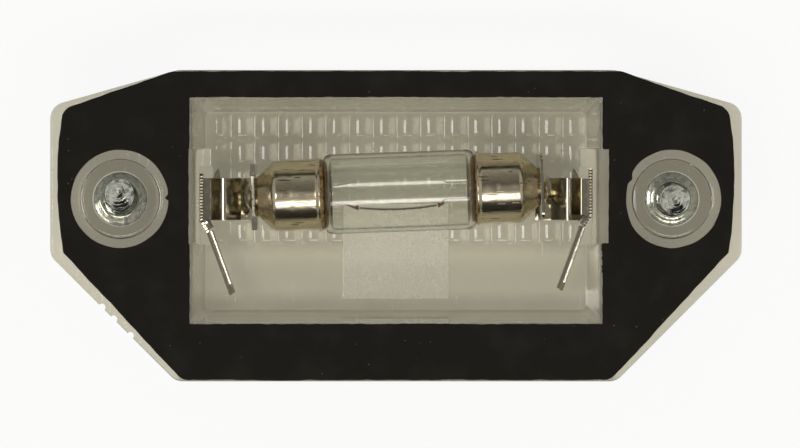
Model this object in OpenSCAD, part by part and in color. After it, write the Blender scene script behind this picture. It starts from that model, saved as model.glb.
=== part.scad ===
// Number plate lamp, seen from its rear, the side that meets the car.
// A clear lens housing carries a foam gasket, a double-ended bulb between
// two folded spring contacts, and the two screws that hold the lamp.
// X runs along the lamp, Y is up on the car and Z points out of the rear.
// Z = 0 is the flat outer face of the lens, and X = Y = 0 is the middle of the flange.

/* [Bulb] */
// Diameter of the glass
glass_d = 9.6; // [8.8:0.1:11]
// Length of the glass between its rounded ends
glass_l = 17.8; // [14:0.2:24]
// Thickness of the glass
glass_t = 0.5; // [0.4:0.05:0.8]
// Radius of the rounded ends of the glass
glass_round = 1.1; // [0.7:0.1:1.4]
// Diameter of the glass neck inside each cap
neck_d = 6.2; // [5:0.1:7]
// Length of the glass neck inside each cap
neck_l = 2.6; // [2:0.1:3.4]
// Diameter of the metal caps
cap_d = 8.5; // [7.6:0.1:9.2]
// Length of each cap from its rim to its cone
cap_l = 5.35; // [4.6:0.05:7]
// Thickness of the cap metal
cap_t = 0.3; // [0.2:0.05:0.4]
// How far the rolled rim of a cap stands out
rim_out = 0.22; // [0.1:0.02:0.4]
// Diameter at the small end of the cap's cone, where the contact bears
seat_d = 4.6; // [4:0.1:5.4]
// Length of the rolled rim
rim_l = 0.25; // [0.15:0.05:0.4]
// Length of the rounded nose beyond the cone
nose_l = 1.25; // [1:0.05:1.8]
// Diameter of the hole in the nose that the lead comes through
eyelet_d = 1.2; // [0.8:0.1:1.6]
// Diameter of the solder drop on the nose
solder_d = 2.2; // [1.8:0.1:2.6]
// Height of the solder drop
solder_h = 0.36; // [0.2:0.02:0.6]
// Width of the cement ring that shows between glass and cap
cement_l = 0.6; // [0.4:0.05:1]
// Diameter of the lead wires
lead_d = 0.3; // [0.2:0.02:0.4]
// Diameter of the coiled filament
filament_d = 0.24; // [0.16:0.02:0.34]
// Distance between the two ends of the filament
filament_span = 9.3; // [7:0.1:11]
// How far the filament hangs off the bulb's axis
filament_off = 1.75; // [1:0.05:2.2]
// Length of the crimp that holds each end of the filament
crimp_l = 0.6; // [0.4:0.05:0.9]
// Further sag of the filament between its ends
filament_sag = 0.32; // [0.1:0.02:0.6]
// Slope of the bulb as it sits, in degrees
bulb_tilt = 2.07; // [0:0.1:4]
// How far the bulb sits to the right of the middle
bulb_shift = 0.2; // [0:0.05:0.5]

/* [Bowl] */
// Thickness of the lens at the bottom of the bowl
floor_t = 2.2; // [1.6:0.1:3]
// Thickness of the bowl's walls
wall_t = 2; // [1.4:0.1:2.6]
// Height of the bowl's floor
bowl_h = 23.6; // [22.6:0.2:28]
// How far each wall leans outwards from floor to opening
draft = 1.65; // [0.8:0.05:2.2]
// Corner radius of the bowl's inside
bowl_r = 0.8; // [0.4:0.1:2]
// Radius of the outer edge of the lens
lens_edge_r = 1.4; // [0.6:0.1:1.6]
// How far the bulb's axis sits above the middle of the bowl
bulb_rise = 2.25; // [1.2:0.05:3]
// Room between the lens optics and the glass of the bulb
under_bulb = 1.6; // [1:0.1:4]
// Room between the glass of the bulb and the rear of the flange
over_bulb = 0.2; // [0:0.1:2]

/* [Lens optics] */
// Columns of pillow lenses across the floor
optic_columns = 16; // [10:1:20]
// Rows of pillow lenses, counted down from the upper wall
optic_rows = 5; // [3:1:6]
// Distance from row to row
row_pitch = 3.18; // [2.8:0.02:3.3]
// How high the pillows stand on the floor
optic_rise = 0.4; // [0.2:0.05:0.5]
// Flat gap between two columns
optic_gap = 0.5; // [0.3:0.05:0.8]
// Width of the grooves between two rows
row_groove = 0.35; // [0.2:0.05:0.5]
// Width of the smooth raised light window
window_w = 18.8; // [16:0.2:24]
// How high the light window stands on the floor
window_rise = 0.15; // [0.1:0.05:0.3]
// Width of the frosted pad
pad_w = 12.8; // [9:0.1:15]
// Height of the frosted pad
pad_h = 11.4; // [9:0.1:12]
// How high the frosted pad stands on the floor
pad_rise = 0.6; // [0.55:0.05:0.9]
// How far the middle of the pad lies below the middle of the bowl
pad_drop = 5; // [4.2:0.1:5.4]

/* [Flange] */
// Thickness of the flange
flange_t = 2.6; // [2:0.1:3.6]
// Width of the flange above the bowl's opening
top_band = 3.35; // [3:0.05:6]
// Width of the flange below the bowl's opening
bottom_band = 6.95; // [6:0.05:10]
// From the bowl's opening to each screw's axis
screw_gap = 8.42; // [8:0.02:12]
// From each screw's axis to the end of the flange
end_margin = 8.33; // [8:0.01:12]
// How far the screws sit above the middle of the bowl
screw_rise = 1.4; // [0:0.1:2.5]
// Size of the slope that is cut off each lower corner
corner_cut = 15; // [10:0.5:15.5]
// Length of each sloping shoulder along X
shoulder_l = 15.2; // [12:0.1:16]
// How far each shoulder drops towards the end
shoulder_drop = 4.3; // [2:0.1:5]
// Radius of the flange's corners
corner_r = 2; // [1:0.1:2.6]
// Size of the small nicks in the left slope
nick_d = 0.9; // [0.4:0.1:1.4]
// Places of the nicks along that slope, from its upper end
nick_places = [8.7, 10.7, 13.5]; // [2:0.1:18]

/* [Gasket] */
// Thickness of the foam
gasket_t = 2.5; // [1.5:0.1:4]
// How far the gasket's ends stay inside the flange
gasket_inset = 1.6; // [1:0.1:3]
// How far its upper and lower edges stay inside the flange
gasket_edge_inset = 0.15; // [0.1:0.05:0.5]
// How far its sloping shoulders stay inside the flange's
gasket_shoulder_inset = 0.3; // [0.1:0.05:0.6]
// How far the gasket's end edges bulge outwards
gasket_bulge = 0.7; // [0:0.1:0.9]
// How far the gasket's slopes stay inside the flange's slopes
gasket_slope_inset = 0.9; // [0.5:0.1:2]
// Room between the bowl's opening and the gasket's window
window_margin = 0.2; // [0.1:0.05:1]
// Diameter of the gasket's holes round the screws
gasket_hole_d = 11.8; // [9.6:0.1:12.4]
// Depth of the gasket's notch beside the right contact block
notch_right = 0.75; // [0.2:0.05:1.2]
// Depth of the shallower notch beside the left contact block
notch_left = 0.1; // [0.05:0.05:0.6]

/* [Contacts] */
// Thickness of the contact sheet
sheet_t = 0.4; // [0.3:0.05:0.5]
// Width of the terminal blade
tab_w = 6.3; // [4.8:0.1:6.3]
// Length of the terminal blade
tab_l = 8; // [6:0.1:8.5]
// Angle at which the blade slopes inwards
tab_slope = 20; // [10:1:25]
// Length of the toothed neck between wall plate and blade
neck_run = 1.6; // [1.2:0.1:2.2]
// Angle at which the neck slopes inwards
neck_slope = 30; // [20:1:35]
// How far the folded stay beside the neck stands out from it
stay_w = 0.75; // [0.4:0.05:1]
// Length of the folded stay beside the neck
stay_l = 1.15; // [0.8:0.05:1.4]
// How far the folded stay ends below the blade's rear edge
stay_drop = 0.6; // [0.3:0.1:1.5]
// Size of the corners cut off the blade's end
tab_chamfer = 1; // [0.6:0.1:1.4]
// Diameter of the detent hole in the blade
detent_d = 1.5; // [1:0.1:2]
// Length of the wall plate along Y
wall_plate_h = 5.65; // [5.2:0.05:6.4]
// How far the left wall plate reaches above the bulb's axis
rise_left = 2.2; // [2:0.05:3]
// How far the right wall plate reaches above the bulb's axis
rise_right = 2.75; // [2:0.05:3]
// From the bulb's seat to the outer face of the wall plate
spring_l = 6.7; // [6:0.1:9]
// Width of the spring strip
strip_w = 5.1; // [4:0.1:5.6]
// How far the middle of the strip lies below the bulb's axis
strip_drop = 0.85; // [0.5:0.05:1.1]
// How high the strip's wave rises
strip_wave = 1; // [0.4:0.1:1.4]
// Width of the plate that holds the bulb
plate_w = 8; // [7:0.1:9]
// Height of the plate that holds the bulb
plate_h = 8; // [7:0.1:8.4]
// How far the plate leans back, in degrees
plate_lean = 2.5; // [0:0.5:3]
// Radius of the bends in the sheet
bend_r = 0.6; // [0.4:0.05:0.9]
// Teeth along the rear edge of the wall plate
teeth = 14; // [8:1:15]
// Depth of the teeth
tooth_depth = 0.3; // [0.1:0.05:0.5]
// Teeth along the rear edge of the neck
neck_teeth = 4; // [2:1:4]

/* [Contact blocks] */
// Length of each block along Y
block_h = 11.5; // [10.5:0.1:13]
// How far the block's upper end stands above the bulb's axis
block_top = 5.2; // [5:0.1:6.5]
// Width of the ledge that the contact's foot stands on
ledge_w = 1.5; // [1.2:0.1:2]
// Height of the ledge above the floor
ledge_h = 3.1; // [1.5:0.1:3.4]
// How far each wall plate is let into the end wall of the bowl
let_in = 0.6; // [0.4:0.05:1]

/* [Screws] */
// Diameter over the thread
shank_d = 3.5; // [2.9:0.1:3.9]
// Length under the head
screw_l = 13; // [10.5:0.5:19]
// Diameter of the plain neck under the head
plain_d = 2.9; // [2.4:0.1:3.1]
// Length of the plain neck under the head
plain_l = 2; // [1.7:0.1:2.8]
// Length of the pointed tip
tip_l = 3.4; // [2.5:0.1:4]
// Diameter of the head
head_d = 6.5; // [5.6:0.1:7.5]
// Height of the head
head_h = 2.4; // [1.8:0.1:2.6]
// Diameter of the recess round each head
counterbore_d = 9.3; // [8.6:0.1:10.5]
// Thickness of the flange left under each head
web_t = 1.4; // [1:0.1:2]
// Diameter of the screw holes
screw_hole_d = 4.3; // [4.2:0.1:5]
// Lean of the left screw towards +X and towards +Y, in degrees
lean_left = [1, 4]; // [0:0.5:5]
// Lean of the right screw towards +X and towards +Y, in degrees
lean_right = [1, -1]; // [-5:0.5:5]

/* [Clearances] */
// Gap between the bulb and the contacts' plates
seat_gap = 0.15; // [0.12:0.01:0.3]
// Gap between a leaning screw head and its seat
head_gap = 0.02; // [0:0.01:0.2]
// Gap between the contact and the upper end of its pocket
pocket_gap = 0.25; // [0.1:0.05:0.6]

/* [Hidden] */

thin = 0.01;
round_fn = 96;
small_fn = 48;
arc_steps = 6;
wire_sides = 10;
layer_lap = 0.1;
stay_gap = 0.25;

// Places along the bulb's axis, measured from its middle
glass_half = glass_l / 2;
rim_s = glass_half + cement_l;
cone_s = rim_s + cap_l;
seat_s = cone_s + (cap_d - seat_d) / 2;
nose_s = seat_s + nose_l;
plug_s = nose_s - 2 * cap_t;
neck_s = glass_half + neck_l;

// Heights
bulb_z = floor_t + optic_rise + under_bulb + glass_d / 2;
flange_z = bulb_z + glass_d / 2 + over_bulb;
flange_front = flange_z - flange_t;
head_z = flange_z - web_t;
gasket_top = flange_z + gasket_t;
ledge_z = floor_t + ledge_h;

// Bowl, from the bulb and the room for its springs
wall_x = seat_s + spring_l;
bowl_half_x = wall_x - let_in;
bowl_half_y = bowl_h / 2;
open_half_x = bowl_half_x + draft;
open_half_y = bowl_half_y + draft;
bowl_y = (bottom_band - top_band) / 2;
bulb_y = bowl_y + bulb_rise;
bowl_depth = flange_z - floor_t;

// Flange and screws, from the bowl
flange_half_y = open_half_y + (top_band + bottom_band) / 2;
screw_x = open_half_x + screw_gap;
screw_y = bowl_y + screw_rise;
flange_half_x = screw_x + end_margin;

// Contact blocks and the pocket that each contact stands in
block_y1 = bulb_y + block_top;
block_y0 = block_y1 - block_h;
wall_top_left = bulb_y + rise_left;
wall_top_right = bulb_y + rise_right;
strip_y = bulb_y - strip_drop;
pocket_top = max(wall_top_left, wall_top_right) + pocket_gap;

// Unit vector along v
function unit(v) = v / norm(v);

// Points of an arc of radius r that rounds the corner at b between a and c
function corner_arc(a, b, c, r, n) =
    let (
        u = unit(a - b),
        w = unit(c - b),
        half = acos(u * w) / 2,
        centre = b + unit(u + w) * r / sin(half),
        start = b + u * r / tan(half) - centre,
        end = b + w * r / tan(half) - centre,
        from = atan2(start.y, start.x),
        turn = (atan2(end.y, end.x) - from + 540) % 360 - 180
    )
    [for (i = [0:n]) centre + r * [cos(from + turn * i / n), sin(from + turn * i / n)]];

// A closed outline whose corners are rounded: each entry is [x, y, radius]
function rounded(corners) =
    let (n = len(corners), p = [for (c = corners) [c.x, c.y]])
    [for (i = [0:n - 1])
        each corners[i].z > 0
            ? corner_arc(p[(i + n - 1) % n], p[i], p[(i + 1) % n], corners[i].z, arc_steps)
            : [p[i]]];

// An open path whose inner corners are rounded with one radius
function bent(path, r) =
    let (n = len(path))
    [for (i = [0:n - 1])
        each (i > 0 && i < n - 1)
            ? corner_arc(path[i - 1], path[i], path[i + 1], r, arc_steps)
            : [path[i]]];

// The vector across a path at point i, long enough to keep the sheet's thickness in a bend
function across(path, i) =
    let (
        n = len(path),
        before = unit(path[max(i, 1)] - path[max(i, 1) - 1]),
        after = unit(path[min(i, n - 2) + 1] - path[min(i, n - 2)]),
        n1 = [-before.y, before.x],
        n2 = [-after.y, after.x]
    )
    (n1 + n2) / (1 + n1 * n2);

// The outline of a sheet of thickness t that follows a path
function ribbon(path, t) =
    let (n = len(path))
    concat(
        [for (i = [0:n - 1]) path[i] + across(path, i) * t / 2],
        [for (i = [n - 1:-1:0]) path[i] - across(path, i) * t / 2]
    );

// Points on an arc that bulges by sag between a and b, without the two ends
function bulge(a, b, sag) =
    [for (i = [1:7])
        let (t = i / 8, side = unit([b.y - a.y, a.x - b.x]))
        a + (b - a) * t + side * sag * 4 * t * (1 - t)];

function box_outline(half_x, half_y, r) =
    rounded([[half_x, half_y, r], [-half_x, half_y, r], [-half_x, -half_y, r], [half_x, -half_y, r]]);

// Half width and half height of the bowl's inside at height z
function bowl_at(z) = [bowl_half_x, bowl_half_y] + [draft, draft] * (z - floor_t) / bowl_depth;

module slab(z, outline) {
    translate([0, 0, z]) linear_extrude(thin) polygon(outline);
}

module along_x() {
    rotate([0, 90, 0]) children();
}

// Places a child drawn along X on the bulb's own axis
module at_bulb() {
    translate([bulb_shift, bulb_y, bulb_z]) rotate([0, 0, bulb_tilt]) children();
}

// Draws a child for the left end, or mirrored for the right end
module at_end(side) {
    mirror([side > 0 ? 1 : 0, 0, 0]) children();
}

// Lens housing: flange, bowl, optics and contact blocks in one clear moulding

function flange_outline() =
    let (
        x = flange_half_x,
        y = flange_half_y,
        low = corner_cut,
        in = x - shoulder_l,
        drop = y - shoulder_drop
    )
    rounded([
        [x, drop, corner_r], [in, y, corner_r], [-in, y, corner_r], [-x, drop, corner_r],
        [-x, low - y, corner_r], [low - x, -y, corner_r],
        [x - low, -y, corner_r], [x, low - y, corner_r]
    ]);

module bowl_outside() {
    layers = [for (a = [0:15:90]) [lens_edge_r * (1 - cos(a)), lens_edge_r * (1 - sin(a))]];
    translate([0, bowl_y, 0]) hull() {
        for (l = layers) {
            half = bowl_at(l.x) + [wall_t - l.y, wall_t - l.y];
            slab(l.x, box_outline(half.x, half.y, bowl_r + wall_t - l.y / 2));
        }
        top = bowl_at(flange_front) + [wall_t, wall_t];
        slab(flange_front, box_outline(top.x, top.y, bowl_r + wall_t));
    }
}

module bowl_inside() {
    past = 1;
    top = bowl_at(flange_z + past);
    translate([0, bowl_y, 0]) hull() {
        slab(floor_t, box_outline(bowl_half_x, bowl_half_y, bowl_r));
        slab(flange_z + past, box_outline(top.x, top.y, bowl_r));
    }
}

module flutes() {
    pitch = 2 * bowl_half_x / optic_columns;
    half = (pitch - optic_gap) / 2;
    r = (half * half + optic_rise * optic_rise) / (2 * optic_rise);
    length = optic_rows * row_pitch;
    top = bowl_y + bowl_half_y;
    intersection() {
        for (i = [0:optic_columns - 1])
            translate([(i + 0.5) * pitch - bowl_half_x, top, floor_t + optic_rise - r])
                rotate([90, 0, 0]) cylinder(h = length, r = r, $fn = small_fn);
        translate([-bowl_half_x, top - length - 1, floor_t - 0.5])
            cube([2 * bowl_half_x, length + 2, 0.5 + optic_rise + 1]);
    }
}

module row_grooves() {
    for (i = [1:optic_rows])
        translate([-bowl_half_x - 1, bowl_y + bowl_half_y - i * row_pitch, floor_t])
            cube([2 * bowl_half_x + 2, row_groove, optic_rise + 1]);
}

module optics() {
    difference() {
        flutes();
        row_grooves();
    }
    low = bowl_y - bowl_half_y;
    window_top = bowl_y + bowl_half_y - optic_rows * row_pitch;
    translate([-window_w / 2, low - thin, floor_t - 0.5])
        cube([window_w, window_top - low, 0.5 + window_rise]);
    translate([-pad_w / 2, bowl_y - pad_drop - pad_h / 2, floor_t - 0.5])
        cube([pad_w, pad_h, 0.5 + pad_rise]);
}

// The block at the left end that a contact leans on
module contact_block() {
    back = 0.3;
    translate([-open_half_x - back, block_y0, floor_t - 0.5])
        cube([open_half_x + back - wall_x + ledge_w, block_h, flange_z - floor_t + 0.5]);
}

// The pocket in that block: its floor is the ledge that the contact's foot stands on
module contact_pocket() {
    translate([-wall_x, block_y0 - 1, ledge_z])
        cube([ledge_w + 1, pocket_top - block_y0 + 1, flange_z]);
}

module screw_cuts() {
    for (x = [-screw_x, screw_x]) translate([x, screw_y, 0]) {
        translate([0, 0, flange_front - 1])
            cylinder(h = head_z - flange_front + 1, d = counterbore_d, $fn = round_fn);
        translate([0, 0, flange_front])
            cylinder(h = flange_t + 1, d = screw_hole_d, $fn = round_fn);
    }
}

module slope_nicks() {
    for (s = nick_places)
        translate([-flange_half_x + s / sqrt(2), corner_cut - flange_half_y - s / sqrt(2), flange_front - 1])
            cylinder(h = flange_t + 2, d = nick_d, $fn = small_fn);
}

module lens_housing() {
    color([0.8, 0.79, 0.73, 0.6]) difference() {
        union() {
            difference() {
                union() {
                    translate([0, 0, flange_front]) linear_extrude(flange_t) polygon(flange_outline());
                    bowl_outside();
                }
                bowl_inside();
            }
            optics();
            contact_block();
            mirror([1, 0, 0]) contact_block();
        }
        contact_pocket();
        mirror([1, 0, 0]) contact_pocket();
        screw_cuts();
        slope_nicks();
    }
}

// Foam gasket, die-cut from sheet

function gasket_outline() =
    let (
        x = flange_half_x - gasket_inset,
        y = flange_half_y - gasket_edge_inset,
        in = flange_half_x - shoulder_l + 2 * gasket_shoulder_inset,
        drop = flange_half_y - shoulder_drop - gasket_shoulder_inset,
        slope = corner_cut + gasket_slope_inset * (sqrt(2) - 1),
        low = slope - flange_half_y,
        foot = slope - flange_half_x + gasket_slope_inset * 0.4,
        right_top = [x, drop],
        right_low = [x, low],
        left_top = [-x, drop],
        left_low = [-x, low]
    )
    concat(
        rounded([[-x, low, 0], [foot, -y, corner_r], [-foot, -y, corner_r], [x, low, 0]]),
        [for (p = bulge(right_low, right_top, gasket_bulge)) p],
        rounded([[x, drop - 2, 0], [x, drop, 1.4], [in, y, corner_r], [-in, y, corner_r],
                 [-x, drop, 1.4], [-x, drop - 2, 0]]),
        [for (p = bulge(left_top, left_low, gasket_bulge)) p]
    );

module gasket_window() {
    half_x = open_half_x + window_margin;
    half_y = open_half_y + window_margin;
    translate([-half_x, bowl_y - half_y, flange_z - 1])
        cube([2 * half_x, 2 * half_y, gasket_t + 2]);
    translate([-half_x - notch_left, block_y0, flange_z - 1])
        cube([half_x, block_h, gasket_t + 2]);
    translate([0, block_y0, flange_z - 1])
        cube([half_x + notch_right, block_h, gasket_t + 2]);
}

module foam_gasket() {
    color([0.13, 0.13, 0.12]) difference() {
        translate([0, 0, flange_z]) linear_extrude(gasket_t) polygon(gasket_outline());
        gasket_window();
        for (x = [-screw_x, screw_x])
            translate([x, screw_y, flange_z - 1])
                cylinder(h = gasket_t + 2, d = gasket_hole_d, $fn = round_fn);
    }
}

// Contacts: one folded strip each, drawn for the left end

// A tooth cut, standing on the rear edge and open upwards
module tooth_cut(width) {
    translate([-sheet_t, -width / 2, -tooth_depth]) cube([2 * sheet_t, width, tooth_depth + 1]);
}

// Wall plate, toothed neck and terminal blade, as one strip on edge
module wall_and_blade(wall_top) {
    x = -wall_x + sheet_t / 2;
    corner = [x, wall_top - wall_plate_h];
    neck_way = [sin(neck_slope), -cos(neck_slope)];
    neck_inner = [cos(neck_slope), sin(neck_slope)];
    way = [sin(tab_slope), -cos(tab_slope)];
    inner = [cos(tab_slope), sin(tab_slope)];
    blade_start = corner + neck_way * neck_run;
    blade_end = blade_start + way * tab_l;
    top = ledge_z + tab_w;
    pitch = wall_plate_h / (teeth + 1);
    stay_start = corner + neck_way * stay_gap + neck_inner * sheet_t * 0.3;
    stay_end = stay_start + neck_way * stay_l;
    difference() {
        translate([0, 0, ledge_z]) linear_extrude(tab_w) {
            polygon(ribbon(bent([[x, wall_top], corner, blade_start, blade_end], bend_r), sheet_t));
            polygon(ribbon([
                blade_start - way * layer_lap + inner * sheet_t * 0.98,
                blade_end + inner * sheet_t * 0.98
            ], sheet_t));
        }
        for (i = [1:teeth])
            translate([x, wall_top - i * pitch, top]) tooth_cut(pitch * 0.45);
        for (i = [0:neck_teeth - 1])
            translate([each corner + neck_way * (0.3 + i * (neck_run - 0.3) / neck_teeth), top])
                rotate([0, 0, neck_slope]) tooth_cut(0.2);
        for (z = [ledge_z, top])
            translate([each blade_end + inner * sheet_t / 2, z])
                rotate([0, 0, tab_slope]) rotate([45, 0, 0])
                    cube([4 * sheet_t, tab_chamfer * sqrt(2), tab_chamfer * sqrt(2)], center = true);
        translate([each blade_end - way * tab_l / 2, ledge_z + tab_w / 2])
            rotate([0, 0, tab_slope]) along_x()
                cylinder(h = 6 * sheet_t, d = detent_d, center = true, $fn = small_fn);
    }
    translate([0, 0, ledge_z]) linear_extrude(tab_w - stay_drop)
        polygon([stay_start, stay_end, stay_end + neck_inner * stay_w, stay_start + neck_inner * stay_w]);
}

// The wavy spring strip between the foot on the ledge and the bulb's plate
module spring_strip(plate_foot) {
    x = -wall_x + sheet_t / 2;
    z = ledge_z + sheet_t / 2;
    reach = plate_foot.x - x;
    path = [
        [x, z], [x + reach * 0.17, z], [x + reach * 0.38, z + strip_wave],
        [x + reach * 0.7, z + strip_wave / 10], plate_foot
    ];
    translate([0, strip_y + strip_w / 2, 0]) rotate([90, 0, 0])
        linear_extrude(strip_w) polygon(ribbon(bent(path, bend_r), sheet_t));
}

// The plate with the hole that the bulb's nose sits in, drawn on the bulb's axis
module bulb_plate(side) {
    hole_d = seat_d + 2 * seat_gap;
    at_bulb() translate([side * (seat_s + seat_gap + sheet_t / 2), 0, 0])
        rotate([0, side * plate_lean, 0]) difference() {
            cube([sheet_t, plate_w, plate_h], center = true);
            along_x() cylinder(h = 4 * sheet_t, d = hole_d, center = true, $fn = small_fn);
        }
}

// A small pointed barb that stops the foot from sliding
module barb() {
    x = -wall_x + ledge_w + 0.05;
    y = strip_y + strip_w / 2;
    translate([0, 0, ledge_z]) linear_extrude(sheet_t)
        polygon([[x - 0.1, y - 0.3], [x + 0.7, y - 0.3], [x + 0.75, y + 0.4], [x + 0.6, y + 1.3], [x, y + 0.3]]);
}

module contact(side, wall_top) {
    lean_shift = plate_h / 2 * sin(plate_lean);
    plate_x = seat_s + seat_gap + sheet_t / 2 - lean_shift + side * bulb_shift;
    plate_bottom = bulb_z - plate_h / 2 * cos(plate_lean) + sheet_t / 2;
    color([0.62, 0.6, 0.55]) union() {
        at_end(side) {
            wall_and_blade(wall_top);
            spring_strip([-plate_x, plate_bottom]);
            barb();
        }
        bulb_plate(side);
    }
}

module contact_left() {
    contact(-1, wall_top_left);
}

module contact_right() {
    contact(1, wall_top_right);
}

// Bulb: glass, caps, cement, solder, leads and filament

// Half of the glass outline from its middle to its neck: r is inset by wall
function glass_side(wall) =
    let (r = glass_d / 2 - wall, round = glass_round - wall / 2, end = glass_half - wall)
    concat(
        [for (a = [0:15:90]) [r - round + round * cos(a), end - round + round * sin(a)]],
        [[neck_d / 2 - wall, end], [neck_d / 2 - wall, neck_s - wall]]
    );

function flipped(points) = [for (i = [len(points) - 1:-1:0]) [points[i].x, -points[i].y]];

module bulb_glass() {
    outside = glass_side(0);
    inside = glass_side(glass_t);
    color([0.85, 0.9, 0.9, 0.35]) at_bulb() along_x() difference() {
        rotate_extrude($fn = round_fn)
            polygon(concat([[0, -neck_s]], flipped(outside), outside, [[0, neck_s]]));
        rotate_extrude($fn = round_fn)
            polygon(concat([[0, glass_t - neck_s]], flipped(inside), inside, [[0, neck_s - glass_t]]));
        cylinder(h = 4 * neck_s, d = lead_d, center = true, $fn = small_fn);
    }
}

// The curve of the nose, from the cone to the eyelet
function nose_curve(r, s, length) =
    [for (a = [0:15:90]) [eyelet_d / 2 + (r - eyelet_d / 2) * cos(a), s + length * sin(a)]];

function cap_outside() = concat(
    [[cap_d / 2 + rim_out, rim_s], [cap_d / 2 + rim_out, rim_s + rim_l],
     [cap_d / 2, rim_s + 2.2 * rim_l], [cap_d / 2, cone_s]],
    nose_curve(seat_d / 2, seat_s, nose_l)
);

function cap_inside() = concat(
    [[cap_d / 2 - cap_t, rim_s], [cap_d / 2 - cap_t, cone_s - cap_t * 0.4]],
    nose_curve(seat_d / 2 - cap_t, seat_s - cap_t * 0.4, nose_l - cap_t * 0.6)
);

function backwards(points) = [for (i = [len(points) - 1:-1:0]) points[i]];

// Draws a revolved profile at one end of the bulb
module at_cap(side) {
    at_bulb() along_x() mirror([0, 0, side > 0 ? 0 : 1]) children();
}

module bulb_cap(side) {
    color([0.78, 0.73, 0.64]) at_cap(side)
        rotate_extrude($fn = round_fn) polygon(concat(cap_outside(), backwards(cap_inside())));
}

module cap_cement(side) {
    r = cap_d / 2 - cap_t;
    shown = cap_d / 2 + rim_out;
    seal_s = neck_s + cap_t;
    color([0.42, 0.28, 0.16]) at_cap(side) rotate_extrude($fn = round_fn)
        polygon([
            [neck_d / 2, glass_half], [shown - rim_l, glass_half], [shown, rim_s - rim_l], [shown, rim_s],
            [r, rim_s], [r, seal_s], [lead_d / 2, seal_s], [lead_d / 2, neck_s], [neck_d / 2, neck_s]
        ]);
}

module solder(side) {
    r = solder_d / 2;
    share = (r - eyelet_d / 2) / (seat_d / 2 - eyelet_d / 2);
    edge_angle = acos(share);
    underside = [for (i = [0:4])
        let (a = edge_angle + (90 - edge_angle) * i / 4)
        [eyelet_d / 2 + (seat_d / 2 - eyelet_d / 2) * cos(a), seat_s + nose_l * sin(a)]];
    dome = [for (a = [0:15:75]) [r * sin(90 - a), nose_s + solder_h * sin(a)]];
    color([0.72, 0.71, 0.68]) at_cap(side) rotate_extrude($fn = small_fn)
        polygon(concat([[0, plug_s], [eyelet_d / 2, plug_s]], backwards(underside), dome, [[0, nose_s + solder_h]]));
}

// A tube through points in the bulb's own plane, with a radius for each point
module tube(points, radii) {
    n = len(points);
    rings = [for (i = [0:n - 1])
        let (side = across(points, i))
        for (k = [0:wire_sides - 1])
            let (a = 360 * k / wire_sides)
            [points[i].x + side.x * radii[i] * cos(a), points[i].y + side.y * radii[i] * cos(a),
             radii[i] * sin(a)]];
    walls = [for (i = [0:n - 2], k = [0:wire_sides - 1])
        let (next = (k + 1) % wire_sides, row = i * wire_sides)
        [row + k, row + wire_sides + k, row + wire_sides + next, row + next]];
    first = [for (k = [0:wire_sides - 1]) k];
    last = [for (k = [wire_sides - 1:-1:0]) (n - 1) * wire_sides + k];
    polyhedron(rings, concat([first, last], walls));
}

// The filament's route along the bulb: ends at its two crimps, and sags between them
function filament_route() =
    [for (i = [0:8])
        let (t = i / 8)
        [filament_span * (t - 0.5), -filament_off - filament_sag * 4 * t * (1 - t)]];

// The lead runs from the solder through the neck, and ends in a crimp on the filament
module lead_wire(side) {
    route = filament_route();
    end = side > 0 ? route[8] : route[0];
    next = side > 0 ? route[7] : route[1];
    way = unit(end - next);
    hook = side > 0 ? end + [0.75, 0.7] : end + way * 1.4 + [0, 0.25];
    wire_r = lead_d / 2;
    crimp_r = filament_d / 2 + 0.14;
    route_in = [
        [side * plug_s, 0], [side * (neck_s - glass_t - 0.2), 0],
        [side * (glass_half - 0.5), -1.05], hook,
        end + way * (crimp_l + 0.15), end + way * crimp_l, end
    ];
    color([0.5, 0.4, 0.36]) at_bulb()
        tube(route_in, [wire_r, wire_r, wire_r, wire_r, wire_r, crimp_r, crimp_r]);
}

module filament() {
    route = filament_route();
    color([0.3, 0.22, 0.2]) at_bulb() tube(route, [for (p = route) filament_d / 2]);
}

// Screws: pan head, shank over the thread and a pointed tip

module screw(side, lean) {
    slope = norm(lean);
    drop = head_d / 2 * sin(slope) + head_gap;
    r = head_d / 2;
    head = concat(
        [[0, 0], [r, 0], [r, -head_h * 0.4]],
        [for (a = [15:15:75]) [r * 0.55 + r * 0.45 * cos(a), -head_h * (0.4 + 0.6 * sin(a))]],
        [[r * 0.5, -head_h], [0, -head_h]]
    );
    color([0.72, 0.76, 0.8]) translate([side * screw_x, screw_y, head_z - drop])
        rotate([-lean.y, lean.x, 0]) difference() {
            union() {
                cylinder(h = plain_l, d = plain_d, $fn = small_fn);
                translate([0, 0, plain_l])
                    cylinder(h = screw_l - tip_l - plain_l, d = shank_d, $fn = small_fn);
                translate([0, 0, screw_l - tip_l])
                    cylinder(h = tip_l, d1 = shank_d, d2 = 0.2, $fn = small_fn);
                rotate_extrude($fn = small_fn) polygon(head);
            }
            for (turn = [0, 90])
                translate([0, 0, -head_h]) rotate([0, 0, turn])
                    cube([head_d * 0.55, head_d * 0.13, head_h * 1.1], center = true);
        }
}

module screw_left() {
    screw(-1, lean_left);
}

module screw_right() {
    screw(1, lean_right);
}

lens_housing();
foam_gasket();
contact_left();
contact_right();
bulb_glass();
bulb_cap(-1);  // bulb_cap_left
bulb_cap(1);  // bulb_cap_right
cap_cement(-1);  // cap_cement_left
cap_cement(1);  // cap_cement_right
solder(-1);  // solder_left
solder(1);  // solder_right
lead_wire(-1);  // lead_wire_left
lead_wire(1);  // lead_wire_right
filament();
screw_left();
screw_right();
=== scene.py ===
# %% [markdown]
# Number plate lamp, seen from its rear.
#
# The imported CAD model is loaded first, as a fixed frame in metres. Every piece below is a surface
# worked out with numpy in millimetres, in that same frame, and it replaces the CAD node of its name.
# So a piece needs no fitting: its numbers are the ones that the CAD model was drawn with.

# %% Load the frame
import math

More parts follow.
